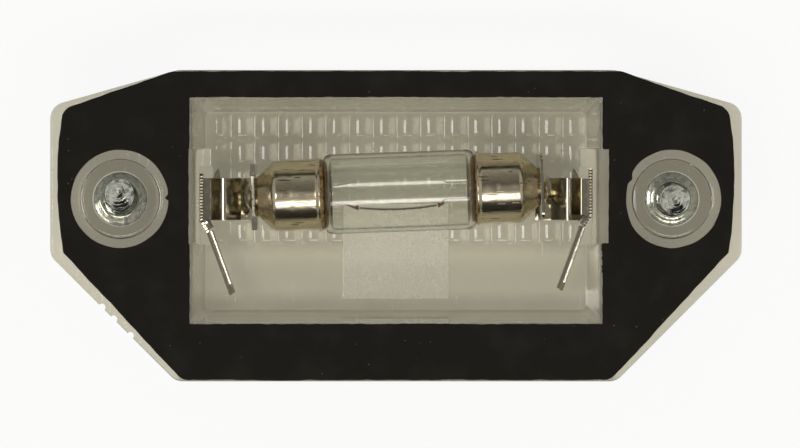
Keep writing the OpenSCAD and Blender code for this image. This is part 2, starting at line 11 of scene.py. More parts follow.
import bmesh
import bpy
import numpy as np
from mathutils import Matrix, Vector


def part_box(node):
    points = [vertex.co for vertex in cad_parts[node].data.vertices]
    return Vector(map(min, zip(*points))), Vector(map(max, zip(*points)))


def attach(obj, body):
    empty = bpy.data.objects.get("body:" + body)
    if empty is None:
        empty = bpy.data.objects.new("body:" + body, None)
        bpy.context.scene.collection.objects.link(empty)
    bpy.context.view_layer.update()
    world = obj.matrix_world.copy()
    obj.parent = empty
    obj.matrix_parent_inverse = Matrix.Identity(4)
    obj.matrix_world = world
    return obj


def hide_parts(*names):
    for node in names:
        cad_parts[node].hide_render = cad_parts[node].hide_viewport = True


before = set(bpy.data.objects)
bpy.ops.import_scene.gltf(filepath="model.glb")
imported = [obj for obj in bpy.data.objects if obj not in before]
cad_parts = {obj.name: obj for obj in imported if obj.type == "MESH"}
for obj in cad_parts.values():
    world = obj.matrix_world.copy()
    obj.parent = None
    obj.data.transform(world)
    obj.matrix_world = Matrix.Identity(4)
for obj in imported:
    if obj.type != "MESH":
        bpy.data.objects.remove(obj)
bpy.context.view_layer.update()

random = np.random.default_rng(7)
MM = 0.001
X, Y, Z = np.eye(3)


def node_box(name):
    """Lowest and highest corner of a CAD node, in millimetres."""
    low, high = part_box(name)
    return np.array(low) / MM, np.array(high) / MM


# %% [markdown]
# Shapes as arrays
#
# A ring is an array of points round a closed outline, and a body is a stack of rings of equal length.
# Carrying a profile along a path, revolving one, and stacking outlines of a moulding all come down to
# such a stack, so a handful of helpers makes every piece. Arrays keep it fast and leave no loops over
# vertices. The alternative, pushing vertices by hand in edit mode, can't be repeated or measured.

# %% Outlines and paths


def unit(v):
    """The vectors of v at length 1."""
    return v / np.linalg.norm(v, axis=-1, keepdims=True)


def full_turn(count):
    """Angles at equal steps round a circle."""
    return np.linspace(0, 2 * np.pi, count, endpoint=False)


def quarter_round(r, steps=5):
    """Distances of a round edge of radius r from its two faces, step by step: r and 0, then 0 and r."""
    a = np.linspace(0, np.pi / 2, steps)
    return r * (1 - np.sin(a)), r * (1 - np.cos(a))


def rectangle(low, high):
    """Corners of a rectangle, anticlockwise from the upper right one."""
    (x0, y0), (x1, y1) = low, high
    return np.array([(x1, y1), (x0, y1), (x0, y0), (x1, y0)])


def corner_arcs(before, corner, after, radius, steps):
    """Arcs that round corners: tangent to both sides, with their centre on the bisector."""
    u = unit(before - corner)
    w = unit(after - corner)
    half = np.arccos(np.clip((u * w).sum(-1), -1, 1)) / 2
    centre = corner + unit(u + w) * (radius / np.sin(half))[:, None]
    first = corner + u * (radius / np.tan(half))[:, None] - centre
    last = corner + w * (radius / np.tan(half))[:, None] - centre
    start = np.arctan2(first[:, 1], first[:, 0])
    turn = (np.arctan2(last[:, 1], last[:, 0]) - start + np.pi) % (2 * np.pi) - np.pi
    angle = start[:, None] + turn[:, None] * np.linspace(0, 1, steps)
    arc = np.stack([np.cos(angle), np.sin(angle)], -1)
    return centre[:, None] + radius[:, None, None] * arc


def outline(corners, radius, inset=0.0, steps=9):
    """Closed outline with rounded corners; inset moves every side of a convex one inwards."""
    p = np.asarray(corners, float)
    u = unit(np.roll(p, 1, 0) - p)
    w = unit(np.roll(p, -1, 0) - p)
    half = np.arccos(np.clip((u * w).sum(-1), -1, 1)) / 2
    p = p + unit(u + w) * (inset / np.sin(half))[:, None]
    r = np.maximum(np.broadcast_to(np.asarray(radius, float), len(p)) - inset, 0.02)
    return corner_arcs(np.roll(p, 1, 0), p, np.roll(p, -1, 0), r, steps).reshape(-1, 2)


def bent(path, radius, steps=7):
    """Open path whose inner corners are rounded."""
    p = np.asarray(path, float)
    r = np.broadcast_to(np.asarray(radius, float), len(p) - 2)
    arcs = corner_arcs(p[:-2], p[1:-1], p[2:], r, steps).reshape(-1, 2)
    return np.concatenate([p[:1], arcs, p[-1:]])


def resample(path, count, closed=False):
    """The same path with points at equal distances along it."""
    p = np.concatenate([path, path[:1]]) if closed else np.asarray(path, float)
    run = np.concatenate([[0], np.cumsum(np.linalg.norm(np.diff(p, axis=0), axis=1))])
    at = np.linspace(0, run[-1], count, endpoint=not closed)
    return np.stack([np.interp(at, run, p[:, k]) for k in range(p.shape[1])], -1)


def side_of(path, closed=False):
    """Unit vectors across a flat path, to the right of its direction."""
    if closed:
        way = np.roll(path, -1, 0) - np.roll(path, 1, 0)
    else:
        way = np.gradient(path, axis=0)
    way = unit(way)
    return np.stack([way[:, 1], -way[:, 0]], -1)


def ripple(count, waves, size):
    """A closed random wave: sines of the given numbers of waves, with random phases."""
    t = full_turn(count)
    parts = [np.sin(t * n + random.uniform(0, 2 * np.pi)) * random.uniform(0.4, 1) for n in waves]
    return size * np.sum(parts, 0) / math.sqrt(len(waves))


sample = outline(rectangle((-10, -5), (10, 5)), 1)
print("the outline of a 20 by 10 mm box with round corners has", len(sample), "points")

# %% Stacks of rings


def quads(rows, cols, loop=False, wrap=True):
    """Faces of a grid of points: wrap closes each row, loop joins the last row to the first."""
    i = np.arange(rows if loop else rows - 1)[:, None]
    j = np.arange(cols if wrap else cols - 1)[None, :]
    i2, j2 = (i + 1) % rows, (j + 1) % cols
    return np.stack([i * cols + j, i * cols + j2, i2 * cols + j2, i2 * cols + j], -1).reshape(-1, 4)


def stack(rings, loop=False):
    """Body from rings: a skin between them, and a flat cap at each end unless it loops."""
    rings = np.asarray(rings, float)
    rows, cols = rings.shape[:2]
    faces = quads(rows, cols, loop).tolist()
    if not loop:
        faces += [list(range(cols))[::-1], list(range((rows - 1) * cols, rows * cols))]
    return rings.reshape(-1, 3), faces


def at_z(xy, z):
    """A flat outline placed at height z."""
    return np.column_stack([xy, np.broadcast_to(z, len(xy))])


def layered(corners, radius, levels, steps=9):
    """Rings of one rounded outline; a level is how far the outline is moved in, and its height."""
    return [at_z(outline(corners, radius, inset, steps), z) for inset, z in levels]


def joined(*bodies):
    """Several bodies as one list of points and faces."""
    points, faces, first = [], [], 0
    for p, f in bodies:
        points.append(p)
        faces += [[v + first for v in face] for face in f]
        first += len(p)
    return np.concatenate(points), faces


def round_axis(s, r, a, origin, along, across):
    """Points at distances s along an axis and r from it, at the angles a.

    point = origin + s * along + r * (across * cos a + up * sin a)
    """
    up = np.cross(along, across)
    circle = np.cos(a)[..., None] * across + np.sin(a)[..., None] * up
    return np.asarray(origin) + s[..., None] * along + r[..., None] * circle


def revolved(profile, origin, along, across, turns=96, loop=False, reshape=None):
    """Body from a profile of (distance along, radius): every point circles the axis.

    reshape may change the distance and the radius by angle before the circle is drawn.
    """
    a = full_turn(turns)[None, :]
    s, r = [column[:, None] + 0 * a for column in np.asarray(profile, float).T]
    if reshape:
        s, r = reshape(s, r, a)
    return stack(round_axis(s, r, a, origin, along, across), loop)


def tube(path, radius, sides=8):
    """Body along a path in space: each ring stands across the path, turned as little as can be."""
    way = unit(np.gradient(path, axis=0))
    first = unit(np.cross(way, [0.0, 0.0, 1.0]))
    second = np.cross(way, first)
    a = full_turn(sides)
    r = np.broadcast_to(radius, len(path))[:, None, None]
    circle = np.cos(a)[None, :, None] * first[:, None] + np.sin(a)[None, :, None] * second[:, None]
    return stack(path[:, None] + r * circle)


# %% [markdown]
# From arrays to objects
#
# A finished piece is one mesh whose points are already in their places. Doubled points are merged, so
# that seams and poles close, normals are turned outwards, and edges sharper than an angle stay sharp.
# A moulding with pockets is easiest to think of as plain bodies added and taken away, so one helper
# does a Boolean with a body and keeps only its result.

# %% Objects and Booleans


def object_of(name, body):
    """Blender object from a body in millimetres, closed and facing outwards."""
    points, faces = body
    mesh = bpy.data.meshes.new(name)
    mesh.from_pydata((np.asarray(points) * MM).tolist(), [], faces)
    piece = bpy.data.objects.new(name, mesh)
    bpy.context.scene.collection.objects.link(piece)
    tidy(piece)
    return piece


def tidy(piece):
    """Merges doubled points, drops flat slivers and turns the faces outwards."""
    work = bmesh.new()
    work.from_mesh(piece.data)
    bmesh.ops.remove_doubles(work, verts=work.verts, dist=1e-7)
    bmesh.ops.dissolve_degenerate(work, dist=1e-8, edges=work.edges)
    bmesh.ops.recalc_face_normals(work, faces=work.faces)
    work.to_mesh(piece.data)
    work.free()


def combined(piece, body, operation="DIFFERENCE"):
    """Cuts a body out of an object, or joins it on, and keeps only the result."""
    other = object_of("tool", body)
    modifier = piece.modifiers.new("cut", "BOOLEAN")
    modifier.operation = operation
    modifier.solver = "EXACT"
    modifier.object = other
    graph = bpy.context.evaluated_depsgraph_get()
    mesh = bpy.data.meshes.new_from_object(piece.evaluated_get(graph))
    piece.modifiers.clear()
    piece.data = mesh
    mesh.name = piece.name
    bpy.data.objects.remove(other)


def finished(piece, node, material, angle=38, weighted=True):
    """Smooth shading with sharp creases, its material, its body and the CAD node that it replaces."""
    piece.data.materials.clear()
    piece.data.materials.append(material)
    piece.data.shade_smooth()
    piece.data.set_sharp_from_angle(angle=math.radians(angle))
    if weighted:
        piece.modifiers.new("even shading", "WEIGHTED_NORMAL").keep_sharp = True
    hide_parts(node)
    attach(piece, "root")
    print(piece.name, "has", len(piece.data.polygons), "faces")
    return piece


# %% [markdown]
# Shader maths as Python
#
# A finish is easier to read as an expression than as a web of nodes. The class below wraps one socket,
# and each operator adds the Math node that it stands for. Other nodes come from one method that takes
# the node's type, its settings and the values or links of its sockets.

# %% A small class for shader values


class Value:
    """A number, colour or vector in a material: wraps the socket that gives it."""

    def __init__(self, finish, socket):
        self.finish = finish
        self.socket = socket

    def maths(self, operation, *values):
        return self.finish.add("Math", {"operation": operation}, dict(enumerate(values)))

    def __add__(self, other):
        return self.maths("ADD", self, other)

    def __sub__(self, other):
        return self.maths("SUBTRACT", self, other)

    def __rsub__(self, other):
        return self.maths("SUBTRACT", other, self)

    def __mul__(self, other):
        return self.maths("MULTIPLY", self, other)

    def __truediv__(self, other):
        return self.maths("DIVIDE", self, other)

    __radd__, __rmul__ = __add__, __mul__

    def size(self):
        return self.maths("ABSOLUTE", self)

    def ramp(self, low, high):
        """0 below low, 1 above high, smooth between; turned round where high is below low."""
        ends = {"Value": self, "From Min": low, "From Max": high}
        return self.finish.add("MapRange", {"interpolation_type": "SMOOTHSTEP"}, ends)


class Finish:
    """A new material or world, and the one method that adds its nodes."""

    def __init__(self, name, kind="materials", place="Object"):
        self.made = getattr(bpy.data, kind).new(name)
        self.made.use_nodes = True
        self.tree = self.made.node_tree
        self.tree.nodes.clear()
        self.place = self.add("TexCoord", out=place)

    def add(self, kind, settings=None, inputs=None, out=0):
        node = self.tree.nodes.new("ShaderNode" + kind)
        for name, setting in (settings or {}).items():
            setattr(node, name, setting)
        for name, value in (inputs or {}).items():
            self.plug(node.inputs[name], value)
        return Value(self, node.outputs[out]) if node.outputs else None

    def plug(self, socket, value):
        if isinstance(value, Value):
            self.tree.links.new(value.socket, socket)
        elif isinstance(value, (tuple, list)) and socket.type == "RGBA":
            socket.default_value = (*value[:3], 1)
        else:
            socket.default_value = value

    def axes(self):
        """The place on the piece as three numbers, in millimetres."""
        split = [self.add("SeparateXYZ", None, {0: self.place}, out=k) for k in range(3)]
        return [part / MM for part in split]

    def noise(self, per_mm, detail=2.0, roughness=0.5, stretch=(1, 1, 1)):
        """Noise with the given number of cells a millimetre, stretched along an axis where asked."""
        place = self.add("Mapping", None, {"Vector": self.place, "Scale": stretch})
        values = {"Vector": place, "Scale": per_mm / MM, "Detail": detail, "Roughness": roughness}
        return self.add("TexNoise", None, values)

    def cells(self, per_mm):
        """Distance to the nearest of scattered points, with the given number of points a millimetre."""
        return self.add("TexVoronoi", None, {"Vector": self.place, "Scale": per_mm / MM})

    def mix(self, share, first, second):
        """The two colours mixed by a share from 0 to 1."""
        return self.add("Mix", {"data_type": "RGBA"}, {0: share, 6: first, 7: second}, out=2)

    def bump(self, height, depth_mm):
        """A normal from a height of 0 to 1 that stands for the given depth."""
        return self.add("Bump", None, {"Distance": depth_mm * MM, "Height": height})

    def surface(self, clear_to_lamps=None, **values):
        """Principled surface; clear_to_lamps is the share of lamp light, as a colour, that gets through."""
        named = {key.replace("_", " "): value for key, value in values.items()}
        shader = self.add("BsdfPrincipled", None, named)
        if clear_to_lamps:
            lamp = self.add("LightPath", out="Is Shadow Ray")
            through = self.add("BsdfTransparent", None, {"Color": clear_to_lamps})
            shader = self.add("MixShader", None, {0: lamp, 1: shader, 2: through})
        self.add("OutputMaterial", None, {"Surface": shader})
        return self.made


# %% [markdown]
# Clear plastic of the lens housing
#
# The real moulding is clear acrylic with a light smoky tone. It has bright glints on its optics, a
# frosted pad that spreads the light onto the plate, faint flow lines and some dust. One material holds
# all of it: it lets light through, and its tint, roughness and bump change by place. Its tint holds
# painted light and shade: it is lighter on the flange, on the blocks and below the optics, and darker
# over the optics and round the screw recesses. A pale tint on the bowl's rim is a painted highlight.
# Lamps light what lies under it through a plain tint, because the bright caustics of real plastic would
# need far more samples.

# %% The housing's sizes, in millimetres
housing_low, housing_high = node_box("lens_housing")
gasket_low, gasket_high = node_box("foam_gasket")
flange_half = (housing_high - housing_low)[:2] / 2
flange_z = gasket_low[2]
flange_t = 2.6
flange_front = flange_z - flange_t
shoulder_x, shoulder_y, corner_cut = 15.2, 4.3, 15.0
floor_t = 2.2
bowl_y = 1.8
bowl_half = np.array([22.9, 11.8])
draft = 1.65
wall_t = 2.0
lens_edge_r = 1.4
wall_x = 23.5
ledge_z = 5.3
screw_xy = np.array([32.97, 3.2])
screw_hole_r, recess_r, recess_z, groove_r = 2.15, 4.65, 12.6, 4.72
nick_places, nick_r = (8.7, 10.7, 13.5), 0.45
columns, rows, pitch_y, rise = 16, 5, 3.18, 0.3
optics_top = bowl_y + bowl_half[1]
window_x, window_rise = 9.4, 0.15
pad_half = np.array([6.4, 5.7])
pad_y, pad_rise = bowl_y - 5.0, 0.6
block_y = np.array([-2.25, 9.25])
block_x, block_foot = np.array([wall_x - 1.5, 24.85]), 1.6
pocket_top, pocket_w = 7.05, 3.0

print("flange", (2 * flange_half).round(2), "mm, its rear face at", round(float(flange_z), 2), "mm")

# %% Clear plastic


def clear_plastic():
    """Smoky clear plastic, tinted by region with painted light and shade (blocks among them), a painted
    highlight on the lip, frosted pad, flow lines, dust, scratches.
    """
    f = Finish("clear_plastic")
    x, y, z = f.axes()
    on_pad = x.size().ramp(pad_half[0] + 0.05, pad_half[0] - 0.1)
    on_pad = on_pad * (y - pad_y).size().ramp(pad_half[1] + 0.05, pad_half[1] - 0.1)
    on_pad = on_pad * z.ramp(floor_t + 0.35, floor_t + 0.45) * z.ramp(floor_t + 1.0, floor_t + 0.8)
    grain = f.noise(5.5, detail=1.0, roughness=0.6)
    flow = f.noise(1.1, detail=3.0, stretch=(1.0, 0.07, 0.3))
    block = x.size().ramp(block_x[0], block_x[0] + 0.2) * y.ramp(block_y[0] - 0.2, block_y[0])
    block = block * y.ramp(block_y[1] + 0.2, block_y[1])
    # lip: the bowl's rim. Its pale tint further down is a painted highlight, and it is also rougher and
    # bumpier.
    lip = z.ramp(flange_z - 0.26, flange_z - 0.14) * x.size().ramp(25.6, 25.3) * (1 - block)
    lip = lip * (y - bowl_y).size().ramp(14.4, 14.2)
    cloud = f.noise(0.12, detail=2.0)
    orange = f.noise(1.6, detail=1.0)
    dust = f.cells(1.15).ramp(0.055, 0.03) * f.noise(0.9).ramp(0.55, 0.62)
    scratch = f.noise(1.5, detail=0.0, stretch=(3.0, 0.12, 1.0)).ramp(0.74, 0.8)
    dx, dy = x.size() - screw_xy[0], y - screw_xy[1]
    off_screw = dx * dx + dy * dy
    web = off_screw.ramp(3.4**2, 3.15**2)
    tone = f.mix(cloud.ramp(0.3, 0.7), (0.55, 0.52, 0.405), (0.6, 0.57, 0.45))
    # Painted light and shade: these masks make the plastic darker over the optics and round the screw
    # recesses, and lighter below the optics, on the blocks and on the flange, as the real lamp is lit.
    optics = y.ramp(0.0, 5.0) * y.ramp(14.2, 13.2) * x.size().ramp(23.5, 20.5)
    painted_light_below_optics = y.ramp(-1.5, -4.0) * y.ramp(-9.8, -7.4)
    flange = x.size().ramp(25.6, 26.6)
    ring = off_screw.ramp(6.6**2, 6.3**2)
    painted_shade_round_recess = off_screw.ramp(4.9**2, 4.4**2)
    frost = f.mix(grain.ramp(0.35, 0.65), (0.74, 0.71, 0.59), (0.88, 0.85, 0.73))
    for share, tint in (
        (optics, (0.46, 0.44, 0.34)),
        (painted_light_below_optics, (0.74, 0.7, 0.55)),
        (block, (0.72, 0.69, 0.55)),
        (flange, (0.86, 0.82, 0.67)),
        (ring, (0.49, 0.465, 0.37)),
        (painted_shade_round_recess, (0.38, 0.36, 0.275)),
        (on_pad, frost),
        (web, (0.93, 0.94, 0.88)),
        # painted highlight on the bowl's rim
        (lip * 0.85, (0.92, 0.91, 0.85)),
        (dust * 0.8, (0.1, 0.085, 0.06)),
    ):
        tone = f.mix(share, tone, tint)
    block_side = x.size().ramp(24.0, 24.5) * x.size().ramp(26.6, 25.6)
    rough = 0.05 + 0.04 * f.noise(0.5).ramp(0.35, 0.7) + 0.1 * scratch
    rough = rough + 0.22 * on_pad + 0.3 * lip + 0.35 * block_side
    height = 0.08 * flow + 0.04 * orange + grain * (0.01 + 0.5 * on_pad + 1.0 * lip) + 0.1 * scratch
    return f.surface(
        clear_to_lamps=(0.78, 0.76, 0.69),
        Base_Color=tone,
        Roughness=rough,
        IOR=1.49,
        Transmission_Weight=0.88,
        Normal=f.bump(height, 0.05),
    )


plastic = clear_plastic()

# %% [markdown]
# Lens housing
#
# On the real lamp this is one injection moulding: a flange, a bowl with sloping walls, a floor of
# pillow optics, two blocks that the contacts lean on, and two recessed screw holes. It could be carved
# from one block or modelled face by face. Here each form is a stack of rings, rounded where the mould
# rounds it, and Booleans join them as the moulding does, because the blocks meet sloping walls and
# curved pillows, and those cuts would be hard to draw by hand.

# %% Bodies of the housing


def bowl_ring(z, spread=0.0, radius=0.8):
    """Outline of the bowl's inside at height z, made larger by spread."""
    half = bowl_half + draft * (z - floor_t) / (flange_z - floor_t) + spread
    return at_z(outline(rectangle(-half, half), radius + max(spread, 0)) + (0, bowl_y), z)


def flange_corners():
    """Corners of the flange: two sloping shoulders above, two cut corners below."""
    x, y = flange_half
    shoulder, level, cut = x - shoulder_x, y - shoulder_y, corner_cut
    upper = [(x, level), (shoulder, y), (-shoulder, y), (-x, level)]
    lower = [(-x, cut - y), (cut - x, -y), (x - cut, -y), (x, cut - y)]
    return np.array(upper + lower)


def flange_body(edge=0.3):
    """The flange, with its rims rounded by edge: rings move in as they near a face."""
    steps = list(zip(*quarter_round(edge)))
    levels = [(inset, flange_front + z) for inset, z in steps]
    levels += [(inset, flange_z - z) for inset, z in steps[::-1]]
    return stack(layered(flange_corners(), 2.0, levels))


def bowl_body():
    """Outside of the bowl: a quarter round at the lens edge, then the sloping wall."""
    steps = zip(*quarter_round(lens_edge_r, 10))
    rings = [bowl_ring(z, wall_t - inset, 0.8 - 0.5 * inset) for inset, z in steps]
    return stack(rings + [bowl_ring(flange_front + 0.8, wall_t)])


def bowl_void(lip=0.3):
    """Space of the bowl, cut a little below its floor, with a rounded lip at the opening."""
    rings = [bowl_ring(floor_t - 0.3)]
    rings += [bowl_ring(flange_z - z, spread) for z, spread in zip(*quarter_round(lip))]
    return stack(rings + [bowl_ring(flange_z + 1, lip + 0.05)])


def pillow_height(x, y):
    """Height of the optics over the floor.

    Each column is an arc across X. Its height fades out in a quarter round at both ends of a row.
    The light window and the frosted pad are low plateaus.
    """
    pitch_x = 2 * bowl_half[0] / columns
    half = (pitch_x - 0.36) / 2
    r = (half**2 + rise**2) / (2 * rise)
    u = (x + bowl_half[0]) % pitch_x - pitch_x / 2
    arc = np.sqrt(np.maximum(r**2 - u**2, 0)) - (r - rise)
    v = np.abs((optics_top - y) % pitch_y - pitch_y / 2)
    end = np.clip((v - (pitch_y / 2 - 0.85)) / 0.68, 0, 1)
    below = y < optics_top - rows * pitch_y
    inside = (y < optics_top) & (y > optics_top - rows * pitch_y) & (np.abs(x) < bowl_half[0])
    pillow = np.maximum(arc, 0) * np.sqrt(1 - end**2) * inside
    window = window_rise * (np.abs(x) < window_x) * below
    on_pad = (np.abs(x) < pad_half[0]) & (np.abs(y - pad_y) < pad_half[1])
    return np.maximum(np.maximum(pillow, window), pad_rise * on_pad)


def doubled(edges, gap=0.06):
    """Each edge as two lines a gap apart, so that a step between them is steep."""
    edges = np.asarray(edges, float)
    return np.concatenate([edges - gap / 2, edges + gap / 2])


def floor_body():
    """The floor: a fine grid of heights on top, straight sides, and a flat underside."""
    across, down = 22, 20
    reach = bowl_half + 0.7
    x = np.linspace(-bowl_half[0], bowl_half[0], columns * across + 1)
    x = np.concatenate([[-reach[0]], x, [reach[0]]])
    y = np.concatenate([optics_top - np.arange(rows * down + 1) * pitch_y / down, [bowl_y + reach[1]]])
    y = np.concatenate([y, np.linspace(bowl_y - reach[1], y.min(), 30)[:-1]])
    x = np.unique(np.concatenate([x, doubled([-pad_half[0], pad_half[0], -window_x, window_x])]))
    y = np.unique(np.concatenate([y, doubled([pad_y - pad_half[1], pad_y + pad_half[1]])]))
    gx, gy = np.meshgrid(x, y)
    top = np.stack([gx, gy, floor_t + pillow_height(gx, gy)], -1)
    index = np.arange(gx.size).reshape(gx.shape)
    rim = np.concatenate([index[0, :-1], index[:-1, -1], index[-1, :0:-1], index[:0:-1, 0]])
    under = top.reshape(-1, 3)[rim] * (1, 1, 0) + (0, 0, 1.0)
    points = np.concatenate([top.reshape(-1, 3), under])
    low = gx.size + np.arange(len(rim))
    sides = np.stack([low, np.roll(low, -1), np.roll(rim, -1), rim], -1)
    faces = quads(*gx.shape, wrap=False).tolist() + sides.tolist() + [low[::-1].tolist()]
    return points, faces


def box_body(low, high, edge=0.15):
    """A box with rounded upright edges and a rounded upper rim."""
    levels = [(0, low[2])] + [(inset, high[2] - z) for z, inset in zip(*quarter_round(edge, 4))]
    return stack(layered(rectangle(low[:2], high[:2]), edge, levels, 5))


def drill(x, y, steps, turns=72, loop=False):
    """A round cutter from (height, radius) pairs."""
    return revolved(steps, (x, y, 0), Z, X, turns, loop)


# %% Join and cut the housing


def lens_housing():
    """Flange and bowl, hollowed, with floor, blocks, pockets, screw holes, grooves and nicks."""
    piece = object_of("lens_moulding", flange_body())
    combined(piece, bowl_body(), "UNION")
    combined(piece, bowl_void())
    combined(piece, floor_body(), "UNION")
    under, over = flange_front - 1, flange_z + 1
    wide, cutter_r = recess_r + 0.2, 1.2
    a = full_turn(72)
    recess = [(under, wide), (flange_front, wide), (flange_front + 0.2, recess_r), (recess_z, recess_r)]
    hole = [(12.0, screw_hole_r), (flange_z - 0.15, screw_hole_r)]
    hole += [(flange_z, screw_hole_r + 0.15), (over, screw_hole_r + 0.15)]
    groove = np.stack([flange_z + 1.13 + cutter_r * np.sin(a), groove_r + cutter_r * np.cos(a)], -1)
    for side in (-1, 1):
        ends = sorted(side * block_x)
        low, high = (ends[0], block_y[0], block_foot), (ends[1], block_y[1], flange_z - 0.06)
        combined(piece, box_body(low, high), "UNION")
        ends = sorted([side * wall_x, side * (wall_x - pocket_w)])
        low, high = (ends[0], block_y[0] - 1, ledge_z), (ends[1], pocket_top, flange_z + 3)
        combined(piece, box_body(low, high, 0.12))
        x, y = side * screw_xy[0], screw_xy[1]
        combined(piece, drill(x, y, recess))
        combined(piece, drill(x, y, hole))
        combined(piece, drill(x, y, groove, 96, loop=True))
    for place in nick_places:
        along = place / math.sqrt(2)
        x, y = along - flange_half[0], corner_cut - flange_half[1] - along
        combined(piece, drill(x, y, [(under, nick_r), (over, nick_r)], 24))
    tidy(piece)
    return piece


housing = finished(lens_housing(), "lens_housing", plastic)

# %% [markdown]
# Foam gasket
#
# The real gasket is die-cut from soft black foam, so its cut edges wander a little and its upper rim is
# rounded. A soft body could be simulated, but this one lies flat and stays so. It is a stack of outlines
# whose points are pushed along their normals by a slow random wave, and its window and holes are cut out.

# %% Foam


def foam():
    """Black closed-cell foam: fine pores, a few pale specks, and lighter rubbed patches."""
    f = Finish("foam")
    pores = f.cells(5.0)
    fine = f.noise(9.0, detail=4.0, roughness=0.7)
    rubbed = f.noise(0.25, detail=3.0).ramp(0.45, 0.75)
    speck = f.cells(0.8).ramp(0.075, 0.04) * f.noise(0.7).ramp(0.5, 0.6)
    tone = f.mix(rubbed, (0.0125, 0.0118, 0.0088), (0.019, 0.018, 0.0138))
    tone = f.mix(fine.ramp(0.5, 0.75) * 0.5, tone, (0.024, 0.0225, 0.018))
    tone = f.mix(speck * 0.8, tone, (0.2, 0.19, 0.15))
    return f.surface(
        Base_Color=tone,
        Roughness=0.78 + 0.15 * fine,
        Specular_IOR_Level=0.22,
        Normal=f.bump(0.5 * pores.ramp(0.0, 0.5) + 0.5 * fine, 0.06),
    )


def gasket_outline(count=1100):
    """Outer edge: it runs along the flange and bulges at the ends."""
    x, y = flange_half - (1.6, 0.15)
    shoulder = flange_half[0] - shoulder_x + 0.6
    drop = flange_half[1] - shoulder_y - 0.3
    slope = corner_cut + 0.9 * (math.sqrt(2) - 1)
    low, foot = slope - flange_half[1], slope - flange_half[0] + 0.36
    upper = [(x, low), (x, drop), (shoulder, y), (-shoulder, y)]
    lower = [(-x, drop), (-x, low), (foot, -y), (-foot, -y)]
    edge = outline(upper + lower, [0.4, 1.4, 2.0, 2.0, 1.4, 0.4, 2.0, 2.0])
    edge = resample(edge, count, closed=True)
    t = np.clip((edge[:, 1] - low) / (drop - low), 0, 1)
    at_end = np.abs(edge[:, 0]) > x - 1.5
    edge[:, 0] += np.sign(edge[:, 0]) * 0.7 * 4 * t * (1 - t) * at_end
    return edge


def soft_rings(edge, low, high, rim=0.3, wave=0.05):
    """Rings of one outline from low to high, rounded at the upper rim, with a wavy side."""
    across = side_of(edge, closed=True)
    push = ripple(len(edge), [5, 9, 14, 23, 37, 61, 90], wave)[:, None]
    edge = edge + across * (push - wave)
    drop, inset = quarter_round(rim)
    z = np.concatenate([[low, low + 0.5, (low + high) / 2], high - drop])
    inset = np.concatenate([[0, 0, -0.03], inset])
    return [at_z(edge - across * i, h) for i, h in zip(inset, z)]


def foam_gasket():
    """Outer body minus the window and the two screw holes.

    The window is notched for the blocks and torn below the right one. Each hole's edge has a tongue of
    foam, and the right hole is flatter on its left side.
    """
    low, high = gasket_low[2], gasket_high[2]
    piece = object_of("foam_seal", stack(soft_rings(gasket_outline(), low, high)))
    half = bowl_half + draft + 0.2
    x, y = half[0], bowl_y + half[1] * np.array([-1, 1])
    y0, y1 = block_y
    right = [(x, y[0]), (x, y0), (x + 0.75, y0), (x + 0.75, y1), (x, y1), (x, y[1])]
    left = [(-x, y[1]), (-x, y1), (-x - 0.1, y1), (-x - 0.1, y0), (-x, y0), (-x, y[0])]
    window = outline(right + left, [0.25, 0.05, 0.1, 0.1, 0.05, 0.25] * 2, steps=5)
    window = resample(window, 1000, closed=True)
    torn = (window[:, 0] > x - 0.5) & (np.abs(window[:, 1] + 4.2) < 2.0)
    window[:, 0] -= torn * 0.16 * np.abs(np.sin(window[:, 1] * 6.1) * np.sin(window[:, 1] * 2.3 + 1))
    rings = [at_z(window, low - 1)] + soft_rings(window, low, high, 0.12, 0.035)[1:]
    combined(piece, stack(rings + [at_z(rings[-1][:, :2], high + 1)]))
    tongues = [(-1, 0.02, 0.4, 0.05, 0.0), (1, np.pi - 0.45, 0.35, 0.08, 0.35)]
    for side, at, size, width, flatter in tongues:
        a = full_turn(180)
        tongue = size * np.exp(-(((a - at) / width) ** 2))
        flat = flatter * np.exp(-(((a - np.pi) / 0.5) ** 2))
        r = 5.86 - tongue - flat + ripple(180, [3, 5, 8, 13], 0.03)
        circle = np.stack([side * screw_xy[0] + r * np.cos(a), screw_xy[1] + r * np.sin(a)], -1)
        combined(piece, stack([at_z(circle, low - 1), at_z(circle, high + 1)]))
    tidy(piece)
    return piece


gasket = finished(foam_gasket(), "foam_gasket", foam(), angle=50)

# %% [markdown]
# Contacts
#
# Each real contact is one strip of tinned spring sheet, folded many times: a wall plate with a toothed
# edge, a neck, a doubled terminal blade, a wavy strip and a plate with a hole that the bulb sits in.
# A sheet could be a flat surface with a Solidify modifier. Here a small rounded section is carried
# along each fold line instead, so that every cut edge has its own highlight.

# %% Tinned sheet


def tinned_sheet():
    """Tinned spring sheet: bright, with rolling marks, duller clouds and a warm tone."""
    f = Finish("tinned_sheet")
    rolled = f.noise(2.2, detail=3.0, stretch=(0.4, 1, 0.12))
    spot = f.noise(2.6, detail=4.0, roughness=0.65)
    dull = f.noise(0.8, detail=2.0).ramp(0.4, 0.65)
    tone = f.mix(spot.ramp(0.35, 0.7), (0.6, 0.56, 0.46), (0.68, 0.64, 0.54))
    tone = f.mix(dull * 0.3, tone, (0.42, 0.38, 0.3))
    return f.surface(
        Base_Color=tone,
        Metallic=1.0,
        Roughness=0.07 + 0.05 * dull + 0.03 * spot,
        Normal=f.bump(0.5 * rolled + 0.1 * spot, 0.01),
    )


tin = tinned_sheet()
sheet_t = 0.4
tab_w = 6.3
plate_corner_y = {"left": 6.25, "right": 6.8}
wall_plate_h = 5.65
tab_slope, neck_slope = math.radians(20), math.radians(30)
neck_run, tab_l = 1.6, 8.0
stay_w, stay_l, stay_gap = 0.75, 1.15, 0.25
strip_y, strip_w = 3.2, 5.1
bulb_at = np.array([0.2, 4.05, 9.0])
bulb_tilt = math.radians(2.07)
seat_s, seat_gap, plate_lean, plate_half = 16.8, 0.15, math.radians(2.5), 4.0

# %% Folded strips


